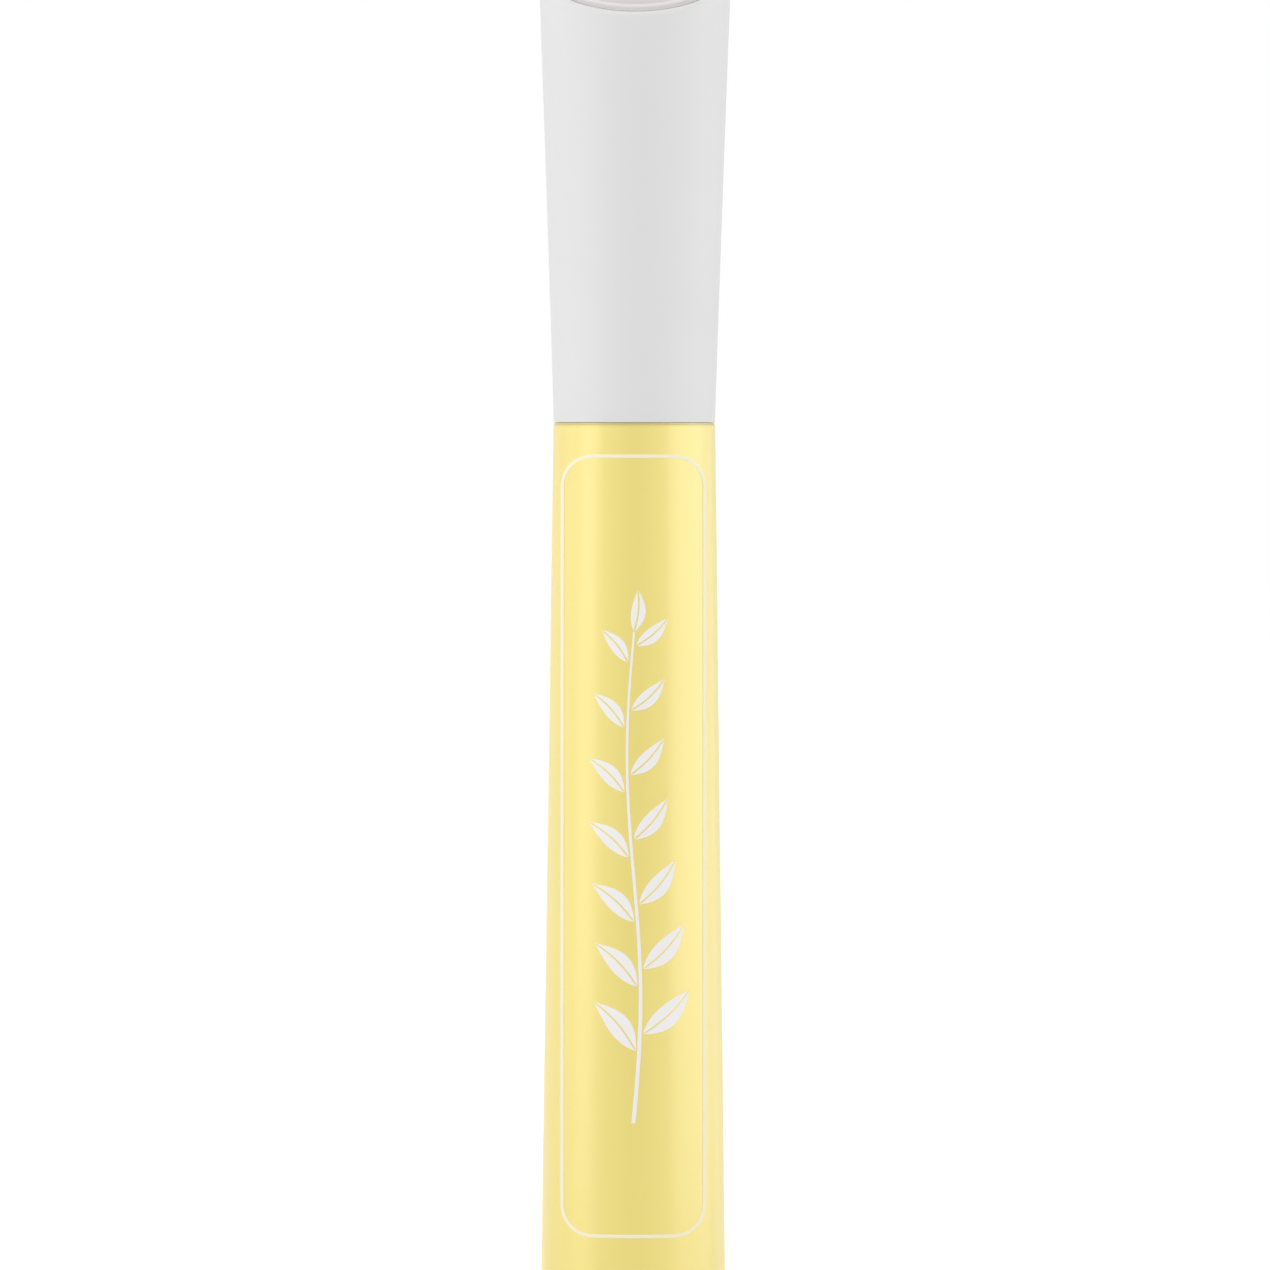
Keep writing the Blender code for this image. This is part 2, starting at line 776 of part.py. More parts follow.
def pawl_ring():
    """Hub with two spring arms whose tips run just inside the ratchet's teeth."""
    hub_bore = sleeve_radius + RUN_GAP
    hub = hub_bore + PAWL_HUB_WALL
    tip = insert_radius - RATCHET_RIM - TOOTH_DEPTH - RUN_GAP
    outline = []
    spacing = math.tau / PAWL_ARMS
    root_share = PAWL_ARM_THICKNESS / (tip - hub)
    for arm in range(PAWL_ARMS):
        start = spacing * arm
        for step in range(ARM_STEPS + 1):
            share = step / ARM_STEPS
            outline.append(polar(hub + (tip - hub) * share, start + PAWL_SWEEP * share))
        for step in range(ARM_STEPS + 1):
            share = 1 - (1 - root_share) * step / ARM_STEPS
            radius = hub + (tip - hub) * share - PAWL_ARM_THICKNESS
            outline.append(polar(radius, start + PAWL_SWEEP * share))
        root = PAWL_SWEEP * root_share
        for step in range(1, ARM_STEPS):
            outline.append(polar(hub, start + root + (spacing - root) * step / ARM_STEPS))
    outlines = [outline, circle(hub_bore, SMALL_SEGMENTS)]
    low = ratchet_z + PAWL_INSET
    ring = flat_outline("pawl_ring", outlines, low, RATCHET_HEIGHT - PAWL_INSET * 2)
    half = KEY_WIDTH / 2 + RUN_GAP
    notch_low = (-half, sleeve_radius - KEY_HEIGHT, low - OVERRUN)
    notch_high = (half, sleeve_radius + KEY_HEIGHT + RUN_GAP, low + RATCHET_HEIGHT + OVERRUN)
    return combine(ring, block("pawl_notch_cut", notch_low, notch_high), "DIFFERENCE")


def drive_sleeve():
    """Long sleeve whose flatted bore turns the screw, with a foot flange and a key."""
    flange_top = sleeve_z + SLEEVE_FLANGE
    corners = [
        (0, sleeve_top_z),
        (sleeve_radius, sleeve_top_z, SMALL_FILLET),
        (sleeve_radius, flange_top),
        (knob_cavity - SEAT_GAP, flange_top),
        (knob_cavity - SEAT_GAP, sleeve_z),
        (0, sleeve_z),
    ]
    sleeve = turned("drive_sleeve", corners, INNER_SEGMENTS, sleeve_z, closed=False)
    key_low = (-KEY_WIDTH / 2, sleeve_radius - KEY_HEIGHT, ratchet_z)
    key_high = (KEY_WIDTH / 2, sleeve_radius + KEY_HEIGHT, ratchet_z + RATCHET_HEIGHT)
    combine(sleeve, block("sleeve_key", key_low, key_high), "UNION")
    bore = bar("sleeve_bore_cut", sleeve_bore, sleeve_z - OVERRUN, sleeve_top_z + OVERRUN, SMALL_SEGMENTS)
    half = SCREW_FLAT + RUN_GAP
    reach = sleeve_bore + OVERRUN
    low = (-half, -reach, sleeve_z - OVERRUN * 2)
    high = (half, reach, sleeve_top_z + OVERRUN * 2)
    combine(bore, block("sleeve_flats", low, high), "INTERSECT")
    return combine(sleeve, bore, "DIFFERENCE")


def knob_ring_radius():
    """Centre radius of the friction ring, which just clears the barrel's bore."""
    return rear_bore - RING_GAP - RING_THICKNESS / 2


def twist_knob():
    """Flared tail with a deck for the drive sleeve and a grooved spigot for the barrel."""
    ring_z = KNOB_HEIGHT + KNOB_RING_RISE
    half_groove = RING_THICKNESS / 2 + RUN_GAP
    ring_groove = knob_ring_radius() - RING_THICKNESS / 2 - RING_GAP
    snap_low = KNOB_HEIGHT + RETAINER_RISE - RUN_GAP
    snap_high = KNOB_HEIGHT + RETAINER_RISE + RETAINER_HEIGHT + RUN_GAP
    snap_groove = retainer_inner - RUN_GAP
    deck_hole = sleeve_radius + RUN_GAP
    corners = [
        (spigot_radius, spigot_top_z, SMALL_FILLET),
        (spigot_radius, snap_high),
        (snap_groove, snap_high),
        (snap_groove, snap_low),
        (spigot_radius, snap_low),
        (spigot_radius, ring_z + half_groove),
        (ring_groove, ring_z + half_groove),
        (ring_groove, ring_z - half_groove),
        (spigot_radius, ring_z - half_groove),
        (spigot_radius, KNOB_HEIGHT),
        (pen_radius(KNOB_HEIGHT), KNOB_HEIGHT, SMALL_FILLET),
        (BASE_RADIUS, 0, EDGE_FILLET),
        (knob_cavity, 0),
        (knob_cavity, deck_z),
        (deck_hole, deck_z),
        (deck_hole, deck_z + KNOB_DECK),
        (spigot_bore, deck_z + KNOB_DECK),
        (spigot_bore, spigot_top_z),
    ]
    knob = turned("twist_knob", corners, OUTER_SEGMENTS)
    half_key = KEY_WIDTH / 2 + RUN_GAP
    key_reach = sleeve_radius + KEY_HEIGHT + RUN_GAP
    slot_low = (-half_key, sleeve_radius - KEY_HEIGHT, deck_z - OVERRUN)
    slot_high = (half_key, key_reach, deck_z + KNOB_DECK + OVERRUN)
    return combine(knob, block("deck_key_cut", slot_low, slot_high), "DIFFERENCE")


def knob_o_ring():
    """Friction ring on the knob's spigot."""
    ring_z = KNOB_HEIGHT + KNOB_RING_RISE
    return torus("knob_o_ring", knob_ring_radius(), RING_THICKNESS, ring_z, INNER_SEGMENTS)


def retaining_ring():
    """Split ring that keeps the spigot in the barrel."""
    low = KNOB_HEIGHT + RETAINER_RISE
    top = low + RETAINER_HEIGHT
    corners = [(retainer_outer, top), (retainer_outer, low), (retainer_inner, low), (retainer_inner, top)]
    ring = turned("retaining_ring", corners, INNER_SEGMENTS, low)
    half = RETAINER_SPLIT / 2
    split_low = (-half, 0, low - OVERRUN)
    split_high = (half, retainer_outer + OVERRUN, top + OVERRUN)
    return combine(ring, block("split_cut", split_low, split_high), "DIFFERENCE")


def knob_end_plug():
    """Flat plug on which the pen stands."""
    radius = knob_cavity - RUN_GAP
    corners = [
        (0, PLUG_HEIGHT),
        (radius, PLUG_HEIGHT),
        (radius, PLUG_CHAMFER),
        (radius - PLUG_CHAMFER, 0),
        (0, 0),
    ]
    return turned("knob_end_plug", corners, OUTER_SEGMENTS, closed=False)


def cap_shell():
    """Flared outer cap: open mouth with a step for the liner, and a slanted end with the lid's seat."""
    tilt_start = ledge_z + LINER_WALL
    recess_z = land_z + SEAT_GAP
    outer = []
    for ring in range(CAP_RINGS):
        z = lid_seat_z + (lip_z - lid_seat_z) * ring / CAP_RINGS
        outer.append((cap_radius(z), z))
    inner = []
    for ring in range(CAP_RINGS):
        z = step_z + (lid_seat_z - step_z) * ring / (CAP_RINGS - 1)
        inner.append((cap_radius(z) - CAP_WALL, z))
    corners = [
        (cap_radius(face_z) - RIM_WALL, face_z),
        (cap_radius(face_z), face_z, EDGE_FILLET),
        *outer,
        (lip_radius, lip_z, SMALL_FILLET),
        (recess_radius, lip_z),
        (recess_radius, recess_z),
        (mouth_radius, recess_z, SMALL_FILLET),
        (mouth_radius, step_z),
        *inner,
        (cap_radius(lid_seat_z) - RIM_WALL, lid_seat_z),
    ]
    shell = baked(turned("cap_shell", corners, OUTER_SEGMENTS))

    def tilt_share(z):
        return min(1, max(0, (z - tilt_start) / (lid_seat_z - tilt_start)))

    return slanted(shell, tilt_share)


def cap_end_plug():
    """Slanted lid with a raised bead round a shallow dish, let into the shell's end."""
    rim = cap_radius(face_z) - RIM_WALL - LID_GAP
    under = face_z - LID_THICKNESS
    bead_outer = cap_radius(face_z) - LID_RIM_WIDTH
    bead_centre = bead_outer - LID_BEAD_WIDTH / 2
    skirt = cap_radius(lid_foot_z) - RIM_WALL - LID_GAP
    corners = [(0, face_z - LID_DISH), (bead_outer - LID_BEAD_WIDTH - LID_DISH, face_z - LID_DISH)]
    for step in range(BEAD_STEPS + 1):
        angle = math.pi * (1 - step / BEAD_STEPS)
        radius = bead_centre + LID_BEAD_WIDTH / 2 * math.cos(angle)
        corners.append((radius, face_z + LID_BEAD_HEIGHT * math.sin(angle)))
    corners += [
        (rim, face_z),
        (skirt, lid_foot_z),
        (skirt - LID_SKIRT_WALL, lid_foot_z),
        (skirt - LID_SKIRT_WALL, under),
        (0, under),
    ]
    lid = baked(turned("cap_end_plug", corners, OUTER_SEGMENTS, closed=False))
    return slanted(lid, lambda z: 1)


def cap_liner():
    """Inner cup that closes over the applicator, seated on the cap's step."""
    neck = liner_bore - LINER_STEP
    flange = cap_radius(ceiling_z) - CAP_WALL - RUN_GAP
    corners = [
        (0, liner_top_z),
        (flange, liner_top_z),
        (flange, ceiling_z),
        (neck + LINER_WALL, ceiling_z),
        (neck + LINER_WALL, ledge_z + LINER_WALL),
        (liner_radius, ledge_z + LINER_WALL),
        (liner_radius, liner_z),
        (liner_bore, liner_z),
        (liner_bore, ledge_z),
        (neck, ledge_z),
        (neck, ceiling_z),
        (0, ceiling_z),
    ]
    return turned("cap_liner", corners, INNER_SEGMENTS, liner_z, closed=False)


def cap_seal_ring():
    """Soft ring under the liner's ledge that closes on the holder's flange."""
    inner = holder_cone_radius + SEAT_GAP
    outer = liner_bore - RUN_GAP
    top = seal_z + SEAL_HEIGHT
    corners = [
        (outer, top, SMALL_FILLET),
        (outer, seal_z, SMALL_FILLET),
        (inner, seal_z, SMALL_FILLET),
        (inner, top, SMALL_FILLET),
    ]
    return turned("cap_seal_ring", corners, INNER_SEGMENTS, seal_z)


def build():
    """Make every piece and hang it on its body."""
    cap_grey = plastic("cap_plastic", CAP_GREY, SATIN)
    lid_grey = plastic("lid_plastic", LID_GREY, SATIN)
    yellow = plastic("barrel_plastic", BARREL_YELLOW, SATIN)
    collar_yellow = plastic("collar_plastic", COLLAR_YELLOW, SATIN)
    clear = plastic("cartridge_plastic", CLEAR_WHITE, POLISHED)
    white = plastic("holder_plastic", HOLDER_WHITE, PLAIN)
    pink = plastic("tip_rubber", TIP_PINK, SOFT)
    seal = plastic("seal_rubber", SEAL_WHITE, SOFT)
    black = plastic("ring_rubber", RING_BLACK, SOFT)
    grey = plastic("works_plastic", WORKS_GREY, PLAIN)
    blue = plastic("piston_plastic", WORKS_BLUE, PLAIN)
    steel = plastic("spring_steel", SPRING_STEEL, POLISHED, metallic=1)

    barrel_body = body_empty("barrel_body", 0)
    cap_body = body_empty("cap_body", lip_z)
    knob_body = body_empty("knob_body", 0)
    screw_body = body_empty("screw_body", screw_z)
    piston_body = body_empty("piston_body", piston_z)

    finished(barrel_shell(), yellow, barrel_body)
    finished(front_collar(), collar_yellow, barrel_body)
    finished(collar_o_ring(), black, barrel_body)
    finished(chamber_tube(), clear, barrel_body)
    finished(neck_gasket(), seal, barrel_body)
    finished(tip_holder(), white, barrel_body)
    finished(feed_tube(), clear, barrel_body)
    finished(applicator_tip(), pink, barrel_body)
    finished(thread_nut(), grey, barrel_body)
    finished(rear_bushing(), grey, barrel_body)
    finished(ratchet_ring(), white, barrel_body)

    finished(twist_knob(), yellow, knob_body)
    finished(knob_end_plug(), yellow, knob_body)
    finished(drive_sleeve(), white, knob_body)
    finished(pawl_ring(), grey, knob_body)
    finished(knob_o_ring(), black, knob_body)
    finished(retaining_ring(), steel, knob_body)

    finished(screw_rod(), white, screw_body)
    finished(piston(), blue, piston_body)

    finished(cap_shell(), cap_grey, cap_body)
    finished(cap_end_plug(), lid_grey, cap_body)
    finished(cap_liner(), clear, cap_body)
    finished(cap_seal_ring(), seal, cap_body)


build()
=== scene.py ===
"""Looks of the cuticle remover pen: smooth moulded pieces, print, finishes and a plain studio.

Lengths are in metres, in the frame of the solids: +Z runs up the pen, and -Y is its printed front.
"""
import json
import math

import bmesh
import bpy
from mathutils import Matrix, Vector


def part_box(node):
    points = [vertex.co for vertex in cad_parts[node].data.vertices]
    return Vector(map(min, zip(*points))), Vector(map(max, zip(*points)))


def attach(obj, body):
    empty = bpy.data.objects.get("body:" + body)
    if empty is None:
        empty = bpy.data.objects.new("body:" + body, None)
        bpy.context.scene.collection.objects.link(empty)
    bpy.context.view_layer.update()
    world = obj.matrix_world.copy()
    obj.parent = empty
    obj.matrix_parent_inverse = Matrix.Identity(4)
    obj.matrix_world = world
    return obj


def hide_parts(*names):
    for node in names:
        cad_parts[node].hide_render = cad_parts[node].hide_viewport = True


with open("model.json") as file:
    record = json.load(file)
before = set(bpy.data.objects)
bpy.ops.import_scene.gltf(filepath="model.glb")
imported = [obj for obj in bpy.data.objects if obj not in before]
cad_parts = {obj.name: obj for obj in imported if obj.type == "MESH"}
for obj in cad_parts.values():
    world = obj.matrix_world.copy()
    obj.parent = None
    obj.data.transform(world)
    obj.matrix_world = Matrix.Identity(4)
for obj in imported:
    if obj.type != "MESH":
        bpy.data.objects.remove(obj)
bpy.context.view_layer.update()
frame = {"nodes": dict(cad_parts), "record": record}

# Fineness of the turned pieces, and the rounding of their corners
SEGMENTS = 192
SMALL_SEGMENTS = 96
ARC_STEPS = 4
MERGE = 1e-7
STRAIGHT_SINE = 1e-3
FLAT_HALF_ANGLE = math.radians(88)
CORNER_SHARE = 0.45
SHARP_ANGLE = math.radians(40)
EDGE_ROUND = 0.00012
SOFT_ROUND = 0.00025

# Seam between the barrel's shoulder and the cap's lip, and the painted shade along it
SEAM_ROUND = 0.00004
SEAM_DEPTH = 0.00008
SEAM_DROP = 0.00008
SEAM_CLEARANCE = 0.00002
# How far the painted shade along the seam reaches below and above the groove's foot
SEAM_SHADE_REACH = 0.00028
SEAM_SHADE_RISE = 0.00008
SHOULDER_EASE = 0.00020

# The cap's outline, close to that of the solids
CAP_LENGTH = 0.0392
FACE_EASE = 0.00010
LAND_RISE = 0.0005
CAP_WALL = 0.0009
SEAT_GAP = 0.0003
LIP_RADIUS = 0.00701
CAP_END_RADIUS = 0.00836
CAP_BOW = 0.000035
END_SLANT = math.radians(24)
CAP_RINGS = 24
TILT_START_Z = 0.09535
RIM_WALL = 0.0006
RIM_ROUND = 0.00030
LID_THICKNESS = 0.0010
LID_SKIRT = 0.0016
LID_SKIRT_WALL = 0.0009
LID_GAP = 0.0001
LID_EDGE_ROUND = 0.00006
LID_RIM_WIDTH = 0.00090
LID_BEAD_WIDTH = 0.00076
LID_BEAD_HEIGHT = 0.00024
LID_DISH = 0.00015
BEAD_STEPS = 10
# Where the painted highlight on the lid's bead begins and is full, as shares of the bead's height
BEAD_HIGHLIGHT_START = 0.0
BEAD_HIGHLIGHT_END = 0.8

# Applicator tip
TIP_HEIGHT = 0.0085
TIP_FACE_RISE = 0.0056
TIP_SLANT = math.radians(50)
TIP_ROOT_RADIUS = 0.0019
TIP_WALL_STEPS = 14
TIP_FACE_STEPS = 8
TIP_EDGE = 0.0005
TIP_ROOT_DEPTH = 0.0045
TIP_BELLY = 0.0001
TIP_DOME_STEPS = 60
DUCT_RADIUS = 0.00055
DUCT_EDGE = 0.00015
FEED_HOLE = 0.00115
FEED_DEPTH = 0.0020

# Rings
RING_THICKNESS = 0.0007
RING_SIDES = 24
SPLIT_WIDTH = 0.0024

# Print
ACROSS_LINE = (-0.5, 0, 0.5)
INK_HEIGHT = 0.000014
INK_DEPTH = 0.000010
BORDER_TOP_Z = 0.07918
BORDER_FOOT_Z = 0.01173
BORDER_HALF_WIDTH = 0.00618
BORDER_CORNER = 0.00262
BORDER_LINE = 0.00030
BORDER_STEP = 0.0005
BORDER_LEAN = -0.001
CORNER_STEPS = 12
SPRIG_FOOT_Z = 0.0215
SPRIG_TOP_Z = 0.0640
STEM_SWAY = 0.0006
STEM_WIDTH = 0.00036
STEM_TAPER = 0.5
STEM_STEPS = 60
LEAF_PAIRS = 7
LEAF_START = 0.14
LEAF_END = 0.93
LEAF_STAGGER = 0.035
LEAF_LENGTH = 0.0056
LEAF_TAPER = 0.34
LEAF_WIDTH_SHARE = 0.34
LEAF_FULLNESS = 0.85
LEAF_BEND = 0.06
LEAF_ANGLE = math.radians(44)
LEAF_STALK = 0.0004
LEAF_STEPS = 18
LEAF_COLUMNS = 4
MIDRIB = 0.00014
MIDRIB_SHARE = 0.5

# Colours, linear
BARREL_YELLOW = (0.775, 0.648, 0.183)
COLLAR_YELLOW = (0.70, 0.54, 0.12)
# Darker gold painted into the barrel along the seam: painted shade in the groove under the cap's lip
PAINTED_SEAM_SHADE = (0.56, 0.47, 0.14)
CAP_GREY = (0.685, 0.685, 0.685)
# The lid's grey, darker than the cap's: painted shade of its upward-facing top
LID_SHADED_GREY = (0.585, 0.560, 0.553)
# Lighter grey painted on the lid's bead: a painted highlight where its front catches the light
PAINTED_BEAD_HIGHLIGHT = (0.70, 0.670, 0.665)
MILKY = (0.80, 0.82, 0.82)
HOLDER_WHITE = (0.80, 0.80, 0.79)
TIP_PINK = (0.78, 0.46, 0.44)
SEAL_WHITE = (0.72, 0.72, 0.70)
RING_BLACK = (0.02, 0.02, 0.02)
WORKS_GREY = (0.36, 0.38, 0.41)
WORKS_BLUE = (0.20, 0.36, 0.52)
SPRING_STEEL = (0.58, 0.58, 0.60)
INK_WHITE = (0.834, 0.816, 0.810)
LINE_CREAM = (0.85, 0.80, 0.60)

# Noise and depth of the finishes
NOISE_LOW = 0.3
NOISE_HIGH = 0.7
CLOUD_SCALE = 70
CLOUD_DETAIL = 3
FLOW_STRETCH = 0.35
SMEAR_SCALE = 260
SMEAR_DETAIL = 4
SMEAR_SPREAD = 0.08
GRAIN_SCALE = 4200
GRAIN_DETAIL = 2
GRAIN_DEPTH = 0.00002
SUBSURFACE_DEPTH = 0.0006

# Studio
AIM_X = 0.00008
AIM_Z = 0.06361
CAMERA_Z = 0.082
CAMERA_DISTANCE = 1.2
CAMERA_ROLL = math.radians(0.08)
CLIP_SPAN = 100
VIEW_WIDTH = 0.11043
SENSOR = 36
AMBIENT = 0.86
FLOOR_REACH = 4
FLOOR_Z = -0.00002
FLOOR_WHITE = (0.82, 0.82, 0.82)
FLOOR_GLOW = 0.45
# Fill panels, which light matt surfaces only: azimuth in degrees and radiance of each
FILL_DISTANCE = 0.30
FILL_SIZE = 0.26
FILL_RISE = 30
FILLS = ((0, 0.56), (-80, 1.19), (80, 0.67))
# Sheen panels, which show in gloss only: azimuth in degrees and radiance of each
SHEEN_DISTANCE = 0.18
SHEEN_SPAN = 30
SHEEN_HEIGHT = 0.24
SHEEN_RISE = 0
SHEENS = (
    (-35, 0.7), (-65, 3.0), (-95, 1.4), (-125, 0.35),
    (35, 0.9), (65, 3.4), (95, 3.4), (125, 1.1),
)

# Heights read from the solids
shoulder_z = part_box("barrel_shell")[1].z - LAND_RISE
lip_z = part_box("cap_shell")[0].z
face_z = shoulder_z + CAP_LENGTH - FACE_EASE
lid_foot_z = face_z - LID_THICKNESS - LID_SKIRT
lid_seat_z = lid_foot_z - SEAT_GAP


def cap_radius(z):
    """Outer radius of the cap, which flares upward in a slightly hollow line."""
    share = (z - lip_z) / (face_z - lip_z)
    straight = LIP_RADIUS + (CAP_END_RADIUS - LIP_RADIUS) * share
    return straight - 4 * CAP_BOW * share * (1 - share)


def barrel_radius(z):
    """Outer radius of the barrel, read from the solid's straight outer wall."""
    (low_radius, low_z), (top_radius, top_z) = barrel_wall
    return low_radius + (top_radius - low_radius) * (z - low_z) / (top_z - low_z)


def section(node):
    """Outline of a turned solid on its +X side, as (radius, height) points, and whether it closes."""
    shape = bmesh.new()
    shape.from_mesh(frame["nodes"][node].data)
    bmesh.ops.remove_doubles(shape, verts=shape.verts, dist=MERGE)
    beside = {}
    for edge in shape.edges:
        ends = [vert.co for vert in edge.verts]
        if all(abs(end.y) < MERGE and end.x > -MERGE for end in ends):
            first, second = [(round(end.x, 8), round(end.z, 8)) for end in ends]
            beside.setdefault(first, []).append(second)
            beside.setdefault(second, []).append(first)
    shape.free()
    tips = [point for point, others in beside.items() if len(others) == 1]
    start = tips[0] if tips else min(beside)
    outline = [start]
    here, last = beside[start][0], start
    while here != start:
        outline.append(here)
        onward = [point for point in beside[here] if point != last]
        if not onward:
            break
        here, last = onward[0], here
    # A flat disc may have no edge in this plane that runs in to the axis
    if tips and outline[0][0] > MERGE:
        outline.insert(0, (0, outline[0][1]))
    if tips and outline[-1][0] > MERGE:
        outline.append((0, outline[-1][1]))
    return straightened(outline, not tips), not tips


def straightened(outline, closed):
    """Drop the points that lie on a straight line between their neighbours."""
    kept = []
    for i, point in enumerate(outline):
        if not closed and i in (0, len(outline) - 1):
            kept.append(point)
            continue
        here = Vector(point)
        back = here - Vector(outline[i - 1])
        onward = Vector(outline[(i + 1) % len(outline)]) - here
        if abs(back.normalized().cross(onward.normalized())) > STRAIGHT_SINE:
            kept.append(point)
    return kept


def rounded(outline, closed, reach):
    """Put an arc in place of each corner, as wide as the sides next to it allow."""
    points = []
    for i, corner in enumerate(outline):
        here = Vector(corner)
        if not closed and i in (0, len(outline) - 1):
            points.append(here)
            continue
        back = Vector(outline[i - 1]) - here
        onward = Vector(outline[(i + 1) % len(outline)]) - here
        half = back.angle(onward) / 2
        if half > FLAT_HALF_ANGLE:
            points.append(here)
            continue
        cut = min(reach / math.tan(half), back.length * CORNER_SHARE, onward.length * CORNER_SHARE)
        for step in range(ARC_STEPS + 1):
            share = step / ARC_STEPS
            start = here + back.normalized() * cut * (1 - share) ** 2
            points.append(start + onward.normalized() * cut * share ** 2)
    return points


def to_object(shape, name):
    """Turn a bmesh into an object with smooth faces and evenly weighted normals."""
    bmesh.ops.recalc_face_normals(shape, faces=shape.faces)
    mesh = bpy.data.meshes.new(name)
    shape.to_mesh(mesh)
    shape.free()
    mesh.shade_smooth()
    mesh.set_sharp_from_angle(angle=SHARP_ANGLE)
    piece = bpy.data.objects.new(name, mesh)
    bpy.context.scene.collection.objects.link(piece)
    weighted = piece.modifiers.new("Even normals", "WEIGHTED_NORMAL")
    weighted.keep_sharp = True
    return piece


def lathe(outline, closed, segments, start=0, sweep=math.tau):
    """Spin an outline of (radius, height) points round Z into a bmesh."""
    shape = bmesh.new()
    cosine = math.cos(start)
    sine = math.sin(start)
    ring = [shape.verts.new((radius * cosine, radius * sine, z)) for radius, z in outline]
    pairs = list(zip(ring, ring[1:]))
    if closed:
        pairs.append((ring[-1], ring[0]))
    edges = [shape.edges.new(pair) for pair in pairs]
    whole = sweep == math.tau
    bmesh.ops.spin(
        shape,
        geom=[*ring, *edges],
        axis=(0, 0, 1),
        cent=(0, 0, 0),
        angle=sweep,
        steps=segments,
        use_merge=whole,
    )
    bmesh.ops.remove_doubles(shape, verts=shape.verts, dist=MERGE)
    return shape


def slanted(shape, share_at):
    """Tilt the cap's upper end as in the solids: heights shear with Y and walls follow the flare."""
    for vert in shape.verts:
        z = vert.co.z
        radius = vert.co.xy.length
        tilted_z = z + vert.co.y * math.tan(END_SLANT) * share_at(z)
        if radius > MERGE:
            vert.co.xy *= 1 + (cap_radius(tilted_z) - cap_radius(z)) / radius
        vert.co.z = tilted_z


def widest_wall(outline):
    """The two ends of the longest straight side of a closed outline, lower end first."""
    sides = zip(outline, outline[1:] + outline[:1])
    return sorted(max(sides, key=lambda side: math.dist(*side)), key=lambda point: point[1])


barrel_wall = widest_wall(section("barrel_shell")[0])
solids_of = frame["record"]["behaviour"]["bodies"]
body_of = {node: body for body, nodes in solids_of.items() for node in nodes}
slot_of = {row["node"]: row["material_slot"] for row in frame["record"]["subparts"]}


def noise(nodes, coordinates, scale, detail, stretch=(1, 1, 1)):
    """A noise texture fixed to the object, in cycles per metre."""
    mapping = nodes.new("ShaderNodeMapping")
    mapping.inputs["Scale"].default_value = stretch
    texture = nodes.new("ShaderNodeTexNoise")
    texture.inputs["Scale"].default_value = scale
    texture.inputs["Detail"].default_value = detail
    links = texture.id_data.links
    links.new(coordinates, mapping.inputs["Vector"])
    links.new(mapping.outputs["Vector"], texture.inputs["Vector"])
    return texture.outputs["Fac"]


def mapped(nodes, value, low, high):
    """Stretch a noise value from its usual spread to a range."""
    spread = nodes.new("ShaderNodeMapRange")
    spread.inputs["From Min"].default_value = NOISE_LOW
    spread.inputs["From Max"].default_value = NOISE_HIGH
    spread.inputs["To Min"].default_value = low
    spread.inputs["To Max"].default_value = high
    spread.id_data.links.new(value, spread.inputs["Value"])
    return spread.outputs["Result"]


def moulded(name, colour, roughness, cloud, specular=0.5, grain=0.05, subsurface=0, metallic=0):
    """Moulded plastic, rubber, ink or metal: cloudy colour, uneven gloss and a fine grain."""
    material = bpy.data.materials.new(name)
    material.use_nodes = True
    nodes = material.node_tree.nodes
    links = material.node_tree.links
    shader = nodes["Principled BSDF"]
    place = nodes.new("ShaderNodeTexCoord").outputs["Object"]

    clouds = noise(nodes, place, CLOUD_SCALE, CLOUD_DETAIL, (1, 1, FLOW_STRETCH))
    tint = nodes.new("ShaderNodeMix")
    tint.data_type = "RGBA"
    tint.inputs["A"].default_value = (*[part * (1 - cloud) for part in colour], 1)
    tint.inputs["B"].default_value = (*[min(1, part * (1 + cloud)) for part in colour], 1)
    links.new(mapped(nodes, clouds, 0, 1), tint.inputs["Factor"])
    links.new(tint.outputs["Result"], shader.inputs["Base Color"])

    smears = noise(nodes, place, SMEAR_SCALE, SMEAR_DETAIL)
    gloss = mapped(nodes, smears, roughness * (1 - SMEAR_SPREAD), roughness * (1 + SMEAR_SPREAD))
    links.new(gloss, shader.inputs["Roughness"])

    grains = noise(nodes, place, GRAIN_SCALE, GRAIN_DETAIL)
    bump = nodes.new("ShaderNodeBump")
    bump.inputs["Strength"].default_value = grain
    bump.inputs["Distance"].default_value = GRAIN_DEPTH
    links.new(grains, bump.inputs["Height"])
    links.new(bump.outputs["Normal"], shader.inputs["Normal"])

    shader.inputs["Metallic"].default_value = metallic
    shader.inputs["Specular IOR Level"].default_value = specular
    shader.inputs["Subsurface Weight"].default_value = subsurface
    shader.inputs["Subsurface Scale"].default_value = SUBSURFACE_DEPTH
    return material


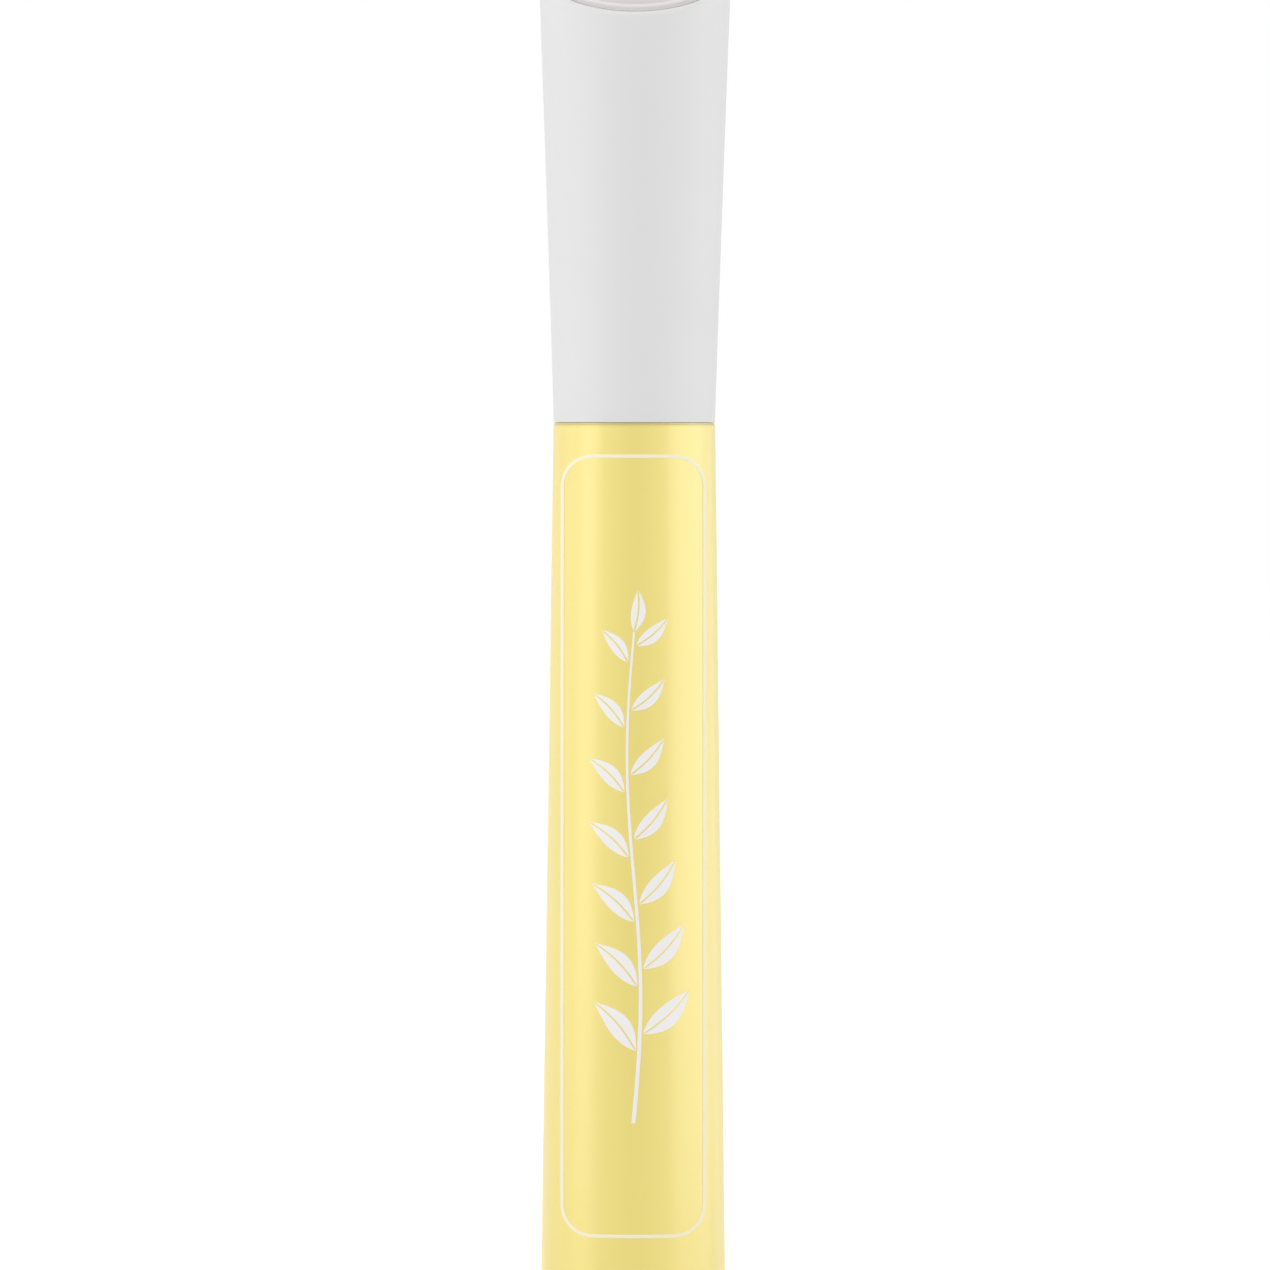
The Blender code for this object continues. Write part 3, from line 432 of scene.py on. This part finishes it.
finishes = {
    "barrel_plastic": moulded("barrel_plastic", BARREL_YELLOW, roughness=0.30, cloud=0.015),
    "collar_plastic": moulded("collar_plastic", COLLAR_YELLOW, roughness=0.34, cloud=0.02),
    "cap_plastic": moulded("cap_plastic", CAP_GREY, roughness=0.50, cloud=0.01, specular=0.12),
    # The lid's darker grey is painted shade of its upward-facing top
    "lid_plastic": moulded("lid_plastic", LID_SHADED_GREY, roughness=0.50, cloud=0.015, specular=0.15),
    "cartridge_plastic": moulded(
        "cartridge_plastic", MILKY, roughness=0.30, cloud=0.04, subsurface=0.4
    ),
    "holder_plastic": moulded(
        "holder_plastic", HOLDER_WHITE, roughness=0.35, cloud=0.02, subsurface=0.1
    ),
    "tip_rubber": moulded(
        "tip_rubber", TIP_PINK, roughness=0.60, cloud=0.04, specular=0.3, grain=0.3, subsurface=0.3
    ),
    "seal_rubber": moulded(
        "seal_rubber", SEAL_WHITE, roughness=0.65, cloud=0.04, specular=0.3, grain=0.3, subsurface=0.1
    ),
    "ring_rubber": moulded(
        "ring_rubber", RING_BLACK, roughness=0.50, cloud=0.2, specular=0.4, grain=0.3
    ),
    "works_plastic": moulded("works_plastic", WORKS_GREY, roughness=0.42, cloud=0.03),
    "piston_plastic": moulded("piston_plastic", WORKS_BLUE, roughness=0.40, cloud=0.03),
    "spring_steel": moulded(
        "spring_steel", SPRING_STEEL, roughness=0.24, cloud=0.05, grain=0.2, metallic=1
    ),
    "print_ink": moulded(
        "print_ink", INK_WHITE, roughness=0.55, cloud=0.012, specular=0.1, grain=0.3
    ),
    "line_ink": moulded(
        "line_ink", LINE_CREAM, roughness=0.55, cloud=0.012, specular=0.1, grain=0.3
    ),
}


def painted_light_tone(material, colour, height, low, high):
    """Blend a finish into a second colour between two values of a height that its nodes give: painted
    light, used for the highlight on the lid's bead and the shade along the barrel's seam.
    """
    nodes = material.node_tree.nodes
    links = material.node_tree.links
    shader = nodes["Principled BSDF"]
    share = nodes.new("ShaderNodeMapRange")
    share.interpolation_type = "SMOOTHSTEP"
    share.inputs["From Min"].default_value = low
    share.inputs["From Max"].default_value = high
    links.new(height, share.inputs["Value"])
    blend = nodes.new("ShaderNodeMix")
    blend.data_type = "RGBA"
    links.new(share.outputs["Result"], blend.inputs["Factor"])
    links.new(shader.inputs["Base Color"].links[0].from_socket, blend.inputs["A"])
    blend.inputs["B"].default_value = (*colour, 1)
    links.new(blend.outputs["Result"], shader.inputs["Base Color"])


def height_over_slant(material, slant):
    """Height of a point over a plane through the axis that falls towards -Y at the slant's angle."""
    nodes = material.node_tree.nodes
    links = material.node_tree.links
    place = nodes.new("ShaderNodeSeparateXYZ")
    links.new(nodes.new("ShaderNodeTexCoord").outputs["Object"], place.inputs["Vector"])
    height = nodes.new("ShaderNodeMath")
    height.operation = "MULTIPLY_ADD"
    links.new(place.outputs["Y"], height.inputs[0])
    height.inputs[1].default_value = -math.tan(slant)
    links.new(place.outputs["Z"], height.inputs[2])
    return height.outputs["Value"]


# Painted highlight: the lid turns a lighter grey over the top of its bead
lid = finishes["lid_plastic"]
highlight_foot = face_z + LID_BEAD_HEIGHT * BEAD_HIGHLIGHT_START
highlight_top = face_z + LID_BEAD_HEIGHT * BEAD_HIGHLIGHT_END
painted_light_tone(lid, PAINTED_BEAD_HIGHLIGHT, height_over_slant(lid, END_SLANT), highlight_foot, highlight_top)
# Painted shade: the barrel's colour turns darker gold towards the seam groove under the cap's lip
barrel = finishes["barrel_plastic"]
groove_foot = shoulder_z - SEAM_DROP
seam_shade_foot = groove_foot - SEAM_SHADE_REACH
seam_shade_top = groove_foot + SEAM_SHADE_RISE
painted_light_tone(barrel, PAINTED_SEAM_SHADE, height_over_slant(barrel, 0), seam_shade_foot, seam_shade_top)


def stand_for(piece, node):
    """Let a piece stand for a solid: it takes the solid's body and its finish, and hides the solid."""
    piece.data.materials.append(finishes[slot_of[node]])
    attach(piece, body_of[node])
    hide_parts(node)
    return piece


def turned_piece(name, node, segments, reach):
    """A smooth, finely turned copy of a turned solid, with its corners rounded."""
    outline, closed = section(node)
    shape = lathe(rounded(outline, closed, reach), closed, segments)
    return stand_for(to_object(shape, name), node)


def barrel_skin():
    """Flared barrel, whose shoulder has a crisp edge and a shallow groove under the cap's lip."""
    outline, closed = section("barrel_shell")
    radius = barrel_radius(shoulder_z)
    kept = [point for point in outline if math.dist(point, (radius, shoulder_z)) > SHOULDER_EASE]
    foot = next(point for point in kept if abs(point[1] - shoulder_z) < MERGE)
    place = kept.index(foot)
    edge_z = shoulder_z - SEAM_DROP
    floor_radius = radius - SEAM_DEPTH
    groove_z = lip_z - SEAM_CLEARANCE
    groove = [(foot[0], groove_z), (floor_radius, groove_z), (floor_radius, edge_z), (radius, edge_z)]
    if kept[(place + 1) % len(kept)][1] > shoulder_z:
        groove.reverse()
    kept[place:place + 1] = groove
    shape = lathe(rounded(kept, closed, SEAM_ROUND), closed, SEGMENTS)
    return stand_for(to_object(shape, "barrel_skin"), "barrel_shell")


def cap_skin():
    """Flared cap shell: recessed lip, mouth for the collar, and a slanted rim round the lid's seat."""
    outline, _ = section("cap_shell")
    mouth_radius = min(radius for radius, _ in outline)
    step_z = max(z for radius, z in outline if radius < mouth_radius + MERGE)
    recess_radius = min(radius for radius, z in outline if z < lip_z + MERGE)
    recess_z = min(z for radius, z in outline if radius < recess_radius - MERGE)
    heights = [lip_z + (lid_seat_z - lip_z) * ring / CAP_RINGS for ring in range(CAP_RINGS + 1)]
    outer = [(cap_radius(z), z) for z in reversed(heights)]
    inner = [(cap_radius(z) - CAP_WALL, z) for z in heights if z > step_z]
    corners = [
        *outer,
        (recess_radius, lip_z),
        (recess_radius, recess_z),
        (mouth_radius, recess_z),
        (mouth_radius, step_z),
        (cap_radius(step_z) - CAP_WALL, step_z),
        *inner,
        (cap_radius(lid_seat_z) - RIM_WALL, lid_seat_z),
    ]
    # The outer wall runs on into the rim, so its first corner gets no arc
    body = rounded(corners, True, SEAM_ROUND)[ARC_STEPS:]
    rim = [(cap_radius(face_z) - RIM_WALL, face_z), (cap_radius(face_z), face_z)]
    edge = rounded([corners[-1], *rim, corners[0]], False, RIM_ROUND)
    shape = lathe([*body, *edge[1:-1]], True, SEGMENTS)
    slanted(shape, lambda z: min(1, max(0, (z - TILT_START_Z) / (lid_seat_z - TILT_START_Z))))
    return stand_for(to_object(shape, "cap_skin"), "cap_shell")


def lid_skin():
    """Slanted lid: flat rim, raised bead and shallow dish, on a skirt let into the shell's end."""
    rim = cap_radius(face_z) - RIM_WALL - LID_GAP
    skirt = cap_radius(lid_foot_z) - RIM_WALL - LID_GAP
    under_z = face_z - LID_THICKNESS
    dish_z = face_z - LID_DISH
    bead_outer = cap_radius(face_z) - LID_RIM_WIDTH
    bead_middle = bead_outer - LID_BEAD_WIDTH / 2
    bead = []
    for step in range(BEAD_STEPS + 1):
        angle = math.pi * (1 - step / BEAD_STEPS)
        radius = bead_middle + LID_BEAD_WIDTH / 2 * math.cos(angle)
        bead.append((radius, face_z + LID_BEAD_HEIGHT * math.sin(angle)))
    corners = [
        (0, dish_z),
        (bead_outer - LID_BEAD_WIDTH - LID_DISH, dish_z),
        *bead,
        (rim, face_z),
        (skirt, lid_foot_z),
        (skirt - LID_SKIRT_WALL, lid_foot_z),
        (skirt - LID_SKIRT_WALL, under_z),
        (0, under_z),
    ]
    shape = lathe(rounded(corners, False, LID_EDGE_ROUND), False, SEGMENTS)
    slanted(shape, lambda z: 1)
    return stand_for(to_object(shape, "lid_skin"), "cap_end_plug")


def soft_ring(name, node):
    """A round sealing ring where the solid's faceted one lies."""
    low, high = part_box(node)
    middle = high.x - RING_THICKNESS / 2
    middle_z = (low.z + high.z) / 2
    outline = []
    for side in range(RING_SIDES):
        angle = math.tau * side / RING_SIDES
        radius = middle + RING_THICKNESS / 2 * math.cos(angle)
        outline.append((radius, middle_z + RING_THICKNESS / 2 * math.sin(angle)))
    return stand_for(to_object(lathe(outline, True, SMALL_SEGMENTS), name), node)


def snap_ring():
    """Split retaining ring with its gap at +Y."""
    outline, closed = section("retaining_ring")
    middle = sum(radius for radius, _ in outline) / len(outline)
    half_gap = math.asin(SPLIT_WIDTH / 2 / middle)
    points = rounded(outline, closed, EDGE_ROUND)
    sweep = math.tau - half_gap * 2
    shape = lathe(points, closed, SMALL_SEGMENTS, math.pi / 2 + half_gap, sweep)
    bmesh.ops.holes_fill(shape, edges=shape.edges)
    return stand_for(to_object(shape, "snap_ring_skin"), "retaining_ring")


def tip_wall(foot_z, belly):
    """Radius and height of the tip's side and dome, from its foot up to the axis."""
    dome = TIP_HEIGHT / 2
    points = [(belly - TIP_BELLY, foot_z)]
    for step in range(TIP_DOME_STEPS):
        angle = math.pi / 2 * step / TIP_DOME_STEPS
        points.append((belly * math.cos(angle), foot_z + TIP_HEIGHT - dome * (1 - math.sin(angle))))
    return [Vector(point) for point in points]


def run_to_face(wall, slope, centre_z):
    """How far along the wall it meets the slanted face."""
    run = 0
    for last, point in zip(wall, wall[1:]):
        below = centre_z + slope * last.x - last.y
        above = point.y - centre_z - slope * point.x
        length = (point - last).length
        if above >= 0:
            return run + length * below / (below + above)
        run += length
    return run


def point_at(wall, run):
    """The point at a distance along a wall."""
    for last, point in zip(wall, wall[1:]):
        length = (point - last).length
        if run <= length:
            return last.lerp(point, run / length)
        run -= length
    return wall[-1]


def curve_between(start, corner, end):
    """A quadratic arc from start to end that bends towards the corner."""
    points = []
    for step in range(ARC_STEPS + 1):
        share = step / ARC_STEPS
        points.append(start.lerp(corner, share).lerp(corner.lerp(end, share), share))
    return points


def tip_skin():
    """Slanted soft hoof with a rounded rim round its face and the duct's mouth in the middle."""
    low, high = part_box("applicator_tip")
    foot_z = low.z + TIP_ROOT_DEPTH
    centre_z = foot_z + TIP_FACE_RISE
    wall = tip_wall(foot_z, high.x)
    shape = bmesh.new()
    meridians = []
    for turn in range(SMALL_SEGMENTS):
        angle = math.tau * turn / SMALL_SEGMENTS
        slope = math.tan(TIP_SLANT) * math.sin(angle)
        run = run_to_face(wall, slope, centre_z)
        corner = point_at(wall, run)
        inward = Vector((-1, -slope)).normalized()
        mouth = Vector((DUCT_RADIUS, centre_z + slope * DUCT_RADIUS))
        height = run - TIP_EDGE
        side = [point_at(wall, height * step / TIP_WALL_STEPS) for step in range(TIP_WALL_STEPS)]
        rim = curve_between(point_at(wall, height), corner, corner + inward * TIP_EDGE)
        lip = curve_between(mouth - inward * DUCT_EDGE, mouth, mouth - Vector((0, DUCT_EDGE)))
        face = [rim[-1].lerp(lip[0], step / TIP_FACE_STEPS) for step in range(1, TIP_FACE_STEPS)]
        bore = [
            Vector((DUCT_RADIUS, low.z + FEED_DEPTH)),
            Vector((FEED_HOLE, low.z + FEED_DEPTH)),
            Vector((FEED_HOLE, low.z)),
            Vector((TIP_ROOT_RADIUS, low.z)),
            Vector((TIP_ROOT_RADIUS, foot_z)),
        ]
        points = [*side, *rim, *face, *lip, *bore]
        cosine = math.cos(angle)
        sine = math.sin(angle)
        meridians.append([
            shape.verts.new((point.x * cosine, point.x * sine, point.y)) for point in points
        ])
    for here, there in zip(meridians, meridians[1:] + meridians[:1]):
        for i, vert in enumerate(here):
            after = (i + 1) % len(here)
            shape.faces.new((vert, there[i], there[after], here[after]))
    return stand_for(to_object(shape, "tip_skin"), "applicator_tip")


def on_barrel(x, z, lift):
    """A point on the barrel's front, straight behind a point of the flat artwork."""
    radius = barrel_radius(z) + lift
    return x, -math.sqrt(radius ** 2 - x ** 2), z


def printed_patch(shape, rows, closed):
    """Lay a thin patch of ink over rows of flat (x, z) points."""
    levels = []
    for lift in (INK_HEIGHT, -INK_DEPTH):
        levels.append([[shape.verts.new(on_barrel(x, z, lift)) for x, z in row] for row in rows])
    top, foot = levels
    last = len(rows[0]) - 1
    count = len(rows)
    for i in range(count if closed else count - 1):
        j = (i + 1) % count
        for k in range(last):
            shape.faces.new((top[i][k], top[i][k + 1], top[j][k + 1], top[j][k]))
            shape.faces.new((foot[i][k], foot[j][k], foot[j][k + 1], foot[i][k + 1]))
        shape.faces.new((top[i][0], top[j][0], foot[j][0], foot[i][0]))
        shape.faces.new((top[i][last], foot[i][last], foot[j][last], top[j][last]))
    if not closed:
        for i in (0, count - 1):
            for k in range(last):
                shape.faces.new((top[i][k], top[i][k + 1], foot[i][k + 1], foot[i][k]))


def border_rows():
    """Cross lines of the rounded frame, all the way round."""
    half_height = (BORDER_TOP_Z - BORDER_FOOT_Z) / 2
    middle_z = (BORDER_TOP_Z + BORDER_FOOT_Z) / 2
    centres = (
        (BORDER_HALF_WIDTH - BORDER_CORNER, half_height - BORDER_CORNER, 0),
        (BORDER_CORNER - BORDER_HALF_WIDTH, half_height - BORDER_CORNER, 1),
        (BORDER_CORNER - BORDER_HALF_WIDTH, BORDER_CORNER - half_height, 2),
        (BORDER_HALF_WIDTH - BORDER_CORNER, BORDER_CORNER - half_height, 3),
    )
    path = []
    for x, height, quarter in centres:
        for step in range(CORNER_STEPS + 1):
            angle = math.pi / 2 * (quarter + step / CORNER_STEPS)
            path.append((Vector((x, middle_z + height)), Vector((math.cos(angle), math.sin(angle)))))
    rows = []
    for (centre, out), (next_centre, next_out) in zip(path, path[1:] + path[:1]):
        here = centre + out * BORDER_CORNER
        there = next_centre + next_out * BORDER_CORNER
        straight = (next_out - out).length < MERGE
        pieces = max(1, round((there - here).length / BORDER_STEP)) if straight else 1
        for step in range(pieces):
            point = here.lerp(there, step / pieces)
            lean = Vector((BORDER_LEAN * (point.y - BORDER_FOOT_Z), 0))
            rows.append([tuple(point + lean + out * BORDER_LINE * side) for side in ACROSS_LINE])
    return rows


def stem_point(share):
    """A point of the sprig's swaying stem, and the direction in which it grows."""
    x = STEM_SWAY * math.sin(math.tau * share)
    z = SPRIG_FOOT_Z + (SPRIG_TOP_Z - SPRIG_FOOT_Z) * share
    lean = math.tau * STEM_SWAY * math.cos(math.tau * share) / (SPRIG_TOP_Z - SPRIG_FOOT_Z)
    return Vector((x, z)), Vector((lean, 1)).normalized()


def leaf_rows(base, angle, length, side):
    """One half of a leaf, from its midrib out to its edge."""
    along = Vector((math.sin(angle), math.cos(angle)))
    across = Vector((along.y, -along.x)) * side
    rows = []
    for step in range(LEAF_STEPS + 1):
        share = step / LEAF_STEPS
        bend = across * side * LEAF_BEND * length * math.sin(math.pi * share)
        spine = base + along * length * share + bend
        reach = LEAF_WIDTH_SHARE * length * math.sin(math.pi * share ** LEAF_FULLNESS) / 2
        inner = min(MIDRIB / 2, reach * MIDRIB_SHARE)
        width = reach - inner
        columns = [inner + width * column / LEAF_COLUMNS for column in range(LEAF_COLUMNS + 1)]
        rows.append([tuple(spine + across * column) for column in columns])
    return rows


def printed_piece(shape, name, ink):
    """Turn laid ink into a piece that stays on the barrel."""
    bmesh.ops.remove_doubles(shape, verts=shape.verts, dist=MERGE)
    piece = to_object(shape, name)
    piece.data.materials.append(finishes[ink])
    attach(piece, "barrel")
    return piece


def frame_print():
    """Thin rounded frame, in an ink a little creamier than the sprig's."""
    shape = bmesh.new()
    printed_patch(shape, border_rows(), True)
    return printed_piece(shape, "printed_frame", "line_ink")


def sprig_print():
    """Leaf sprig inside the frame: a swaying stem with pairs of leaves and one at its tip."""
    shape = bmesh.new()
    stem = []
    for step in range(STEM_STEPS + 1):
        share = step / STEM_STEPS
        point, growth = stem_point(share)
        across = Vector((growth.y, -growth.x)) * STEM_WIDTH * (1 - STEM_TAPER * share)
        stem.append([tuple(point + across * side) for side in ACROSS_LINE])
    printed_patch(shape, stem, False)
    for pair in range(LEAF_PAIRS):
        share = LEAF_START + (LEAF_END - LEAF_START) * pair / (LEAF_PAIRS - 1)
        length = LEAF_LENGTH * (1 - LEAF_TAPER * pair / (LEAF_PAIRS - 1))
        for side in (-1, 1):
            stagger = LEAF_STAGGER if side > 0 else 0
            base, growth = stem_point(share + stagger)
            angle = math.atan2(growth.x, growth.y) + side * LEAF_ANGLE
            base += Vector((math.sin(angle), math.cos(angle))) * LEAF_STALK
            for half in (-1, 1):
                printed_patch(shape, leaf_rows(base, angle, length, half), False)
    base, growth = stem_point(1)
    angle = math.atan2(growth.x, growth.y)
    for half in (-1, 1):
        printed_patch(shape, leaf_rows(base, angle, LEAF_LENGTH * (1 - LEAF_TAPER), half), False)
    return printed_piece(shape, "printed_sprig", "print_ink")


def kept_solid(node):
    """A solid of the drive, hidden in the barrel, that stays as it is with its finish."""
    solid = frame["nodes"][node]
    solid.data.materials.clear()
    solid.data.materials.append(finishes[slot_of[node]])


barrel_skin()
turned_piece("knob_skin", "twist_knob", SEGMENTS, SOFT_ROUND)
turned_piece("knob_foot_skin", "knob_end_plug", SEGMENTS, EDGE_ROUND)
turned_piece("collar_skin", "front_collar", SEGMENTS, EDGE_ROUND)
turned_piece("cartridge_skin", "chamber_tube", SMALL_SEGMENTS, EDGE_ROUND)
turned_piece("gasket_skin", "neck_gasket", SMALL_SEGMENTS, EDGE_ROUND)
turned_piece("holder_skin", "tip_holder", SMALL_SEGMENTS, SOFT_ROUND)
turned_piece("feed_skin", "feed_tube", SMALL_SEGMENTS, EDGE_ROUND)
turned_piece("piston_skin", "piston", SMALL_SEGMENTS, EDGE_ROUND)
turned_piece("bushing_skin", "rear_bushing", SMALL_SEGMENTS, EDGE_ROUND)
turned_piece("liner_skin", "cap_liner", SMALL_SEGMENTS, EDGE_ROUND)
turned_piece("seal_skin", "cap_seal_ring", SMALL_SEGMENTS, EDGE_ROUND)
soft_ring("collar_ring_skin", "collar_o_ring")
soft_ring("knob_ring_skin", "knob_o_ring")
snap_ring()
cap_skin()
lid_skin()
tip_skin()
frame_print()
sprig_print()
for node in ("screw_rod", "thread_nut", "ratchet_ring", "pawl_ring", "drive_sleeve"):
    kept_solid(node)


def panel(name, azimuth, rise, distance, width, height, radiance):
    """A soft light panel that faces the pen; azimuth 0 is the camera's side, +90 is at +X."""
    light = bpy.data.lights.new(name, "AREA")
    light.shape = "RECTANGLE"
    light.size = width
    light.size_y = height
    light.energy = radiance * math.pi * width * height
    holder = bpy.data.objects.new(name, light)
    bpy.context.scene.collection.objects.link(holder)
    turn = math.radians(azimuth)
    lift = math.radians(rise)
    away = Vector((math.sin(turn) * math.cos(lift), -math.cos(turn) * math.cos(lift), math.sin(lift)))
    holder.location = Vector((0, 0, AIM_Z)) + away * distance
    holder.rotation_euler = away.to_track_quat("Z", "Y").to_euler()
    holder.visible_camera = False
    return holder


def studio_lights():
    """Wide even fills from a little above, and level sheen panels that the gloss picks up."""
    for azimuth, radiance in FILLS:
        name = f"fill_{azimuth}"
        fill = panel(name, azimuth, FILL_RISE, FILL_DISTANCE, FILL_SIZE, FILL_SIZE, radiance)
        fill.visible_glossy = False
    width = 2 * SHEEN_DISTANCE * math.tan(math.radians(SHEEN_SPAN) / 2)
    for azimuth, radiance in SHEENS:
        name = f"sheen_{azimuth}"
        sheen = panel(name, azimuth, SHEEN_RISE, SHEEN_DISTANCE, width, SHEEN_HEIGHT, radiance)
        sheen.visible_diffuse = False


def in_view(nodes):
    """A value that is 1 for what the camera and the gloss see, and 0 for what lights matt surfaces."""
    rays = nodes.new("ShaderNodeLightPath")
    seen = nodes.new("ShaderNodeMath")
    seen.operation = "MAXIMUM"
    links = seen.id_data.links
    links.new(rays.outputs["Is Camera Ray"], seen.inputs[0])
    links.new(rays.outputs["Is Glossy Ray"], seen.inputs[1])
    return seen.outputs["Value"]


def studio_world():
    """White for the camera and the gloss, and an even grey glow as light for matt surfaces."""
    world = bpy.data.worlds.new("studio")
    bpy.context.scene.world = world
    world.use_nodes = True
    nodes = world.node_tree.nodes
    links = world.node_tree.links
    background = nodes["Background"]
    level = nodes.new("ShaderNodeMapRange")
    level.inputs["To Min"].default_value = AMBIENT
    level.inputs["To Max"].default_value = 1
    links.new(in_view(nodes), level.inputs["Value"])
    background.inputs["Color"].default_value = (1, 1, 1, 1)
    links.new(level.outputs["Result"], background.inputs["Strength"])


def studio_floor():
    """White floor just clear of the foot, which keeps the pen's shadow."""
    mesh = bpy.data.meshes.new("floor")
    reach = FLOOR_REACH
    corners = [(-reach, -reach), (reach, -reach), (reach, reach), (-reach, reach)]
    mesh.from_pydata([(x, y, FLOOR_Z) for x, y in corners], [], [(0, 1, 2, 3)])
    floor = bpy.data.objects.new("floor", mesh)
    bpy.context.scene.collection.objects.link(floor)
    material = bpy.data.materials.new("floor_white")
    material.use_nodes = True
    nodes = material.node_tree.nodes
    links = material.node_tree.links
    shader = nodes["Principled BSDF"]
    shader.inputs["Base Color"].default_value = (*FLOOR_WHITE, 1)
    shader.inputs["Roughness"].default_value = 1
    shader.inputs["Specular IOR Level"].default_value = 0
    shader.inputs["Emission Color"].default_value = (1, 1, 1, 1)
    glow = nodes.new("ShaderNodeMath")
    glow.operation = "MULTIPLY"
    links.new(in_view(nodes), glow.inputs[0])
    glow.inputs[1].default_value = FLOOR_GLOW
    links.new(glow.outputs["Value"], shader.inputs["Emission Strength"])
    mesh.materials.append(material)


def studio_camera():
    """A long lens in front of the print, a little above the middle of the view."""
    camera = bpy.data.cameras.new("camera")
    camera.sensor_width = SENSOR
    camera.lens = SENSOR * CAMERA_DISTANCE / VIEW_WIDTH
    camera.clip_start = CAMERA_DISTANCE / CLIP_SPAN
    camera.clip_end = CAMERA_DISTANCE * CLIP_SPAN
    holder = bpy.data.objects.new("camera", camera)
    bpy.context.scene.collection.objects.link(holder)
    holder.location = (AIM_X, -CAMERA_DISTANCE, CAMERA_Z)
    sight = Vector((AIM_X, 0, AIM_Z)) - holder.location
    holder.rotation_euler = sight.to_track_quat("-Z", "Y").to_euler()
    holder.rotation_euler.rotate_axis("Z", CAMERA_ROLL)
    bpy.context.scene.camera = holder


studio_lights()
studio_world()
studio_floor()
studio_camera()
bpy.context.scene.view_settings.view_transform = "Standard"
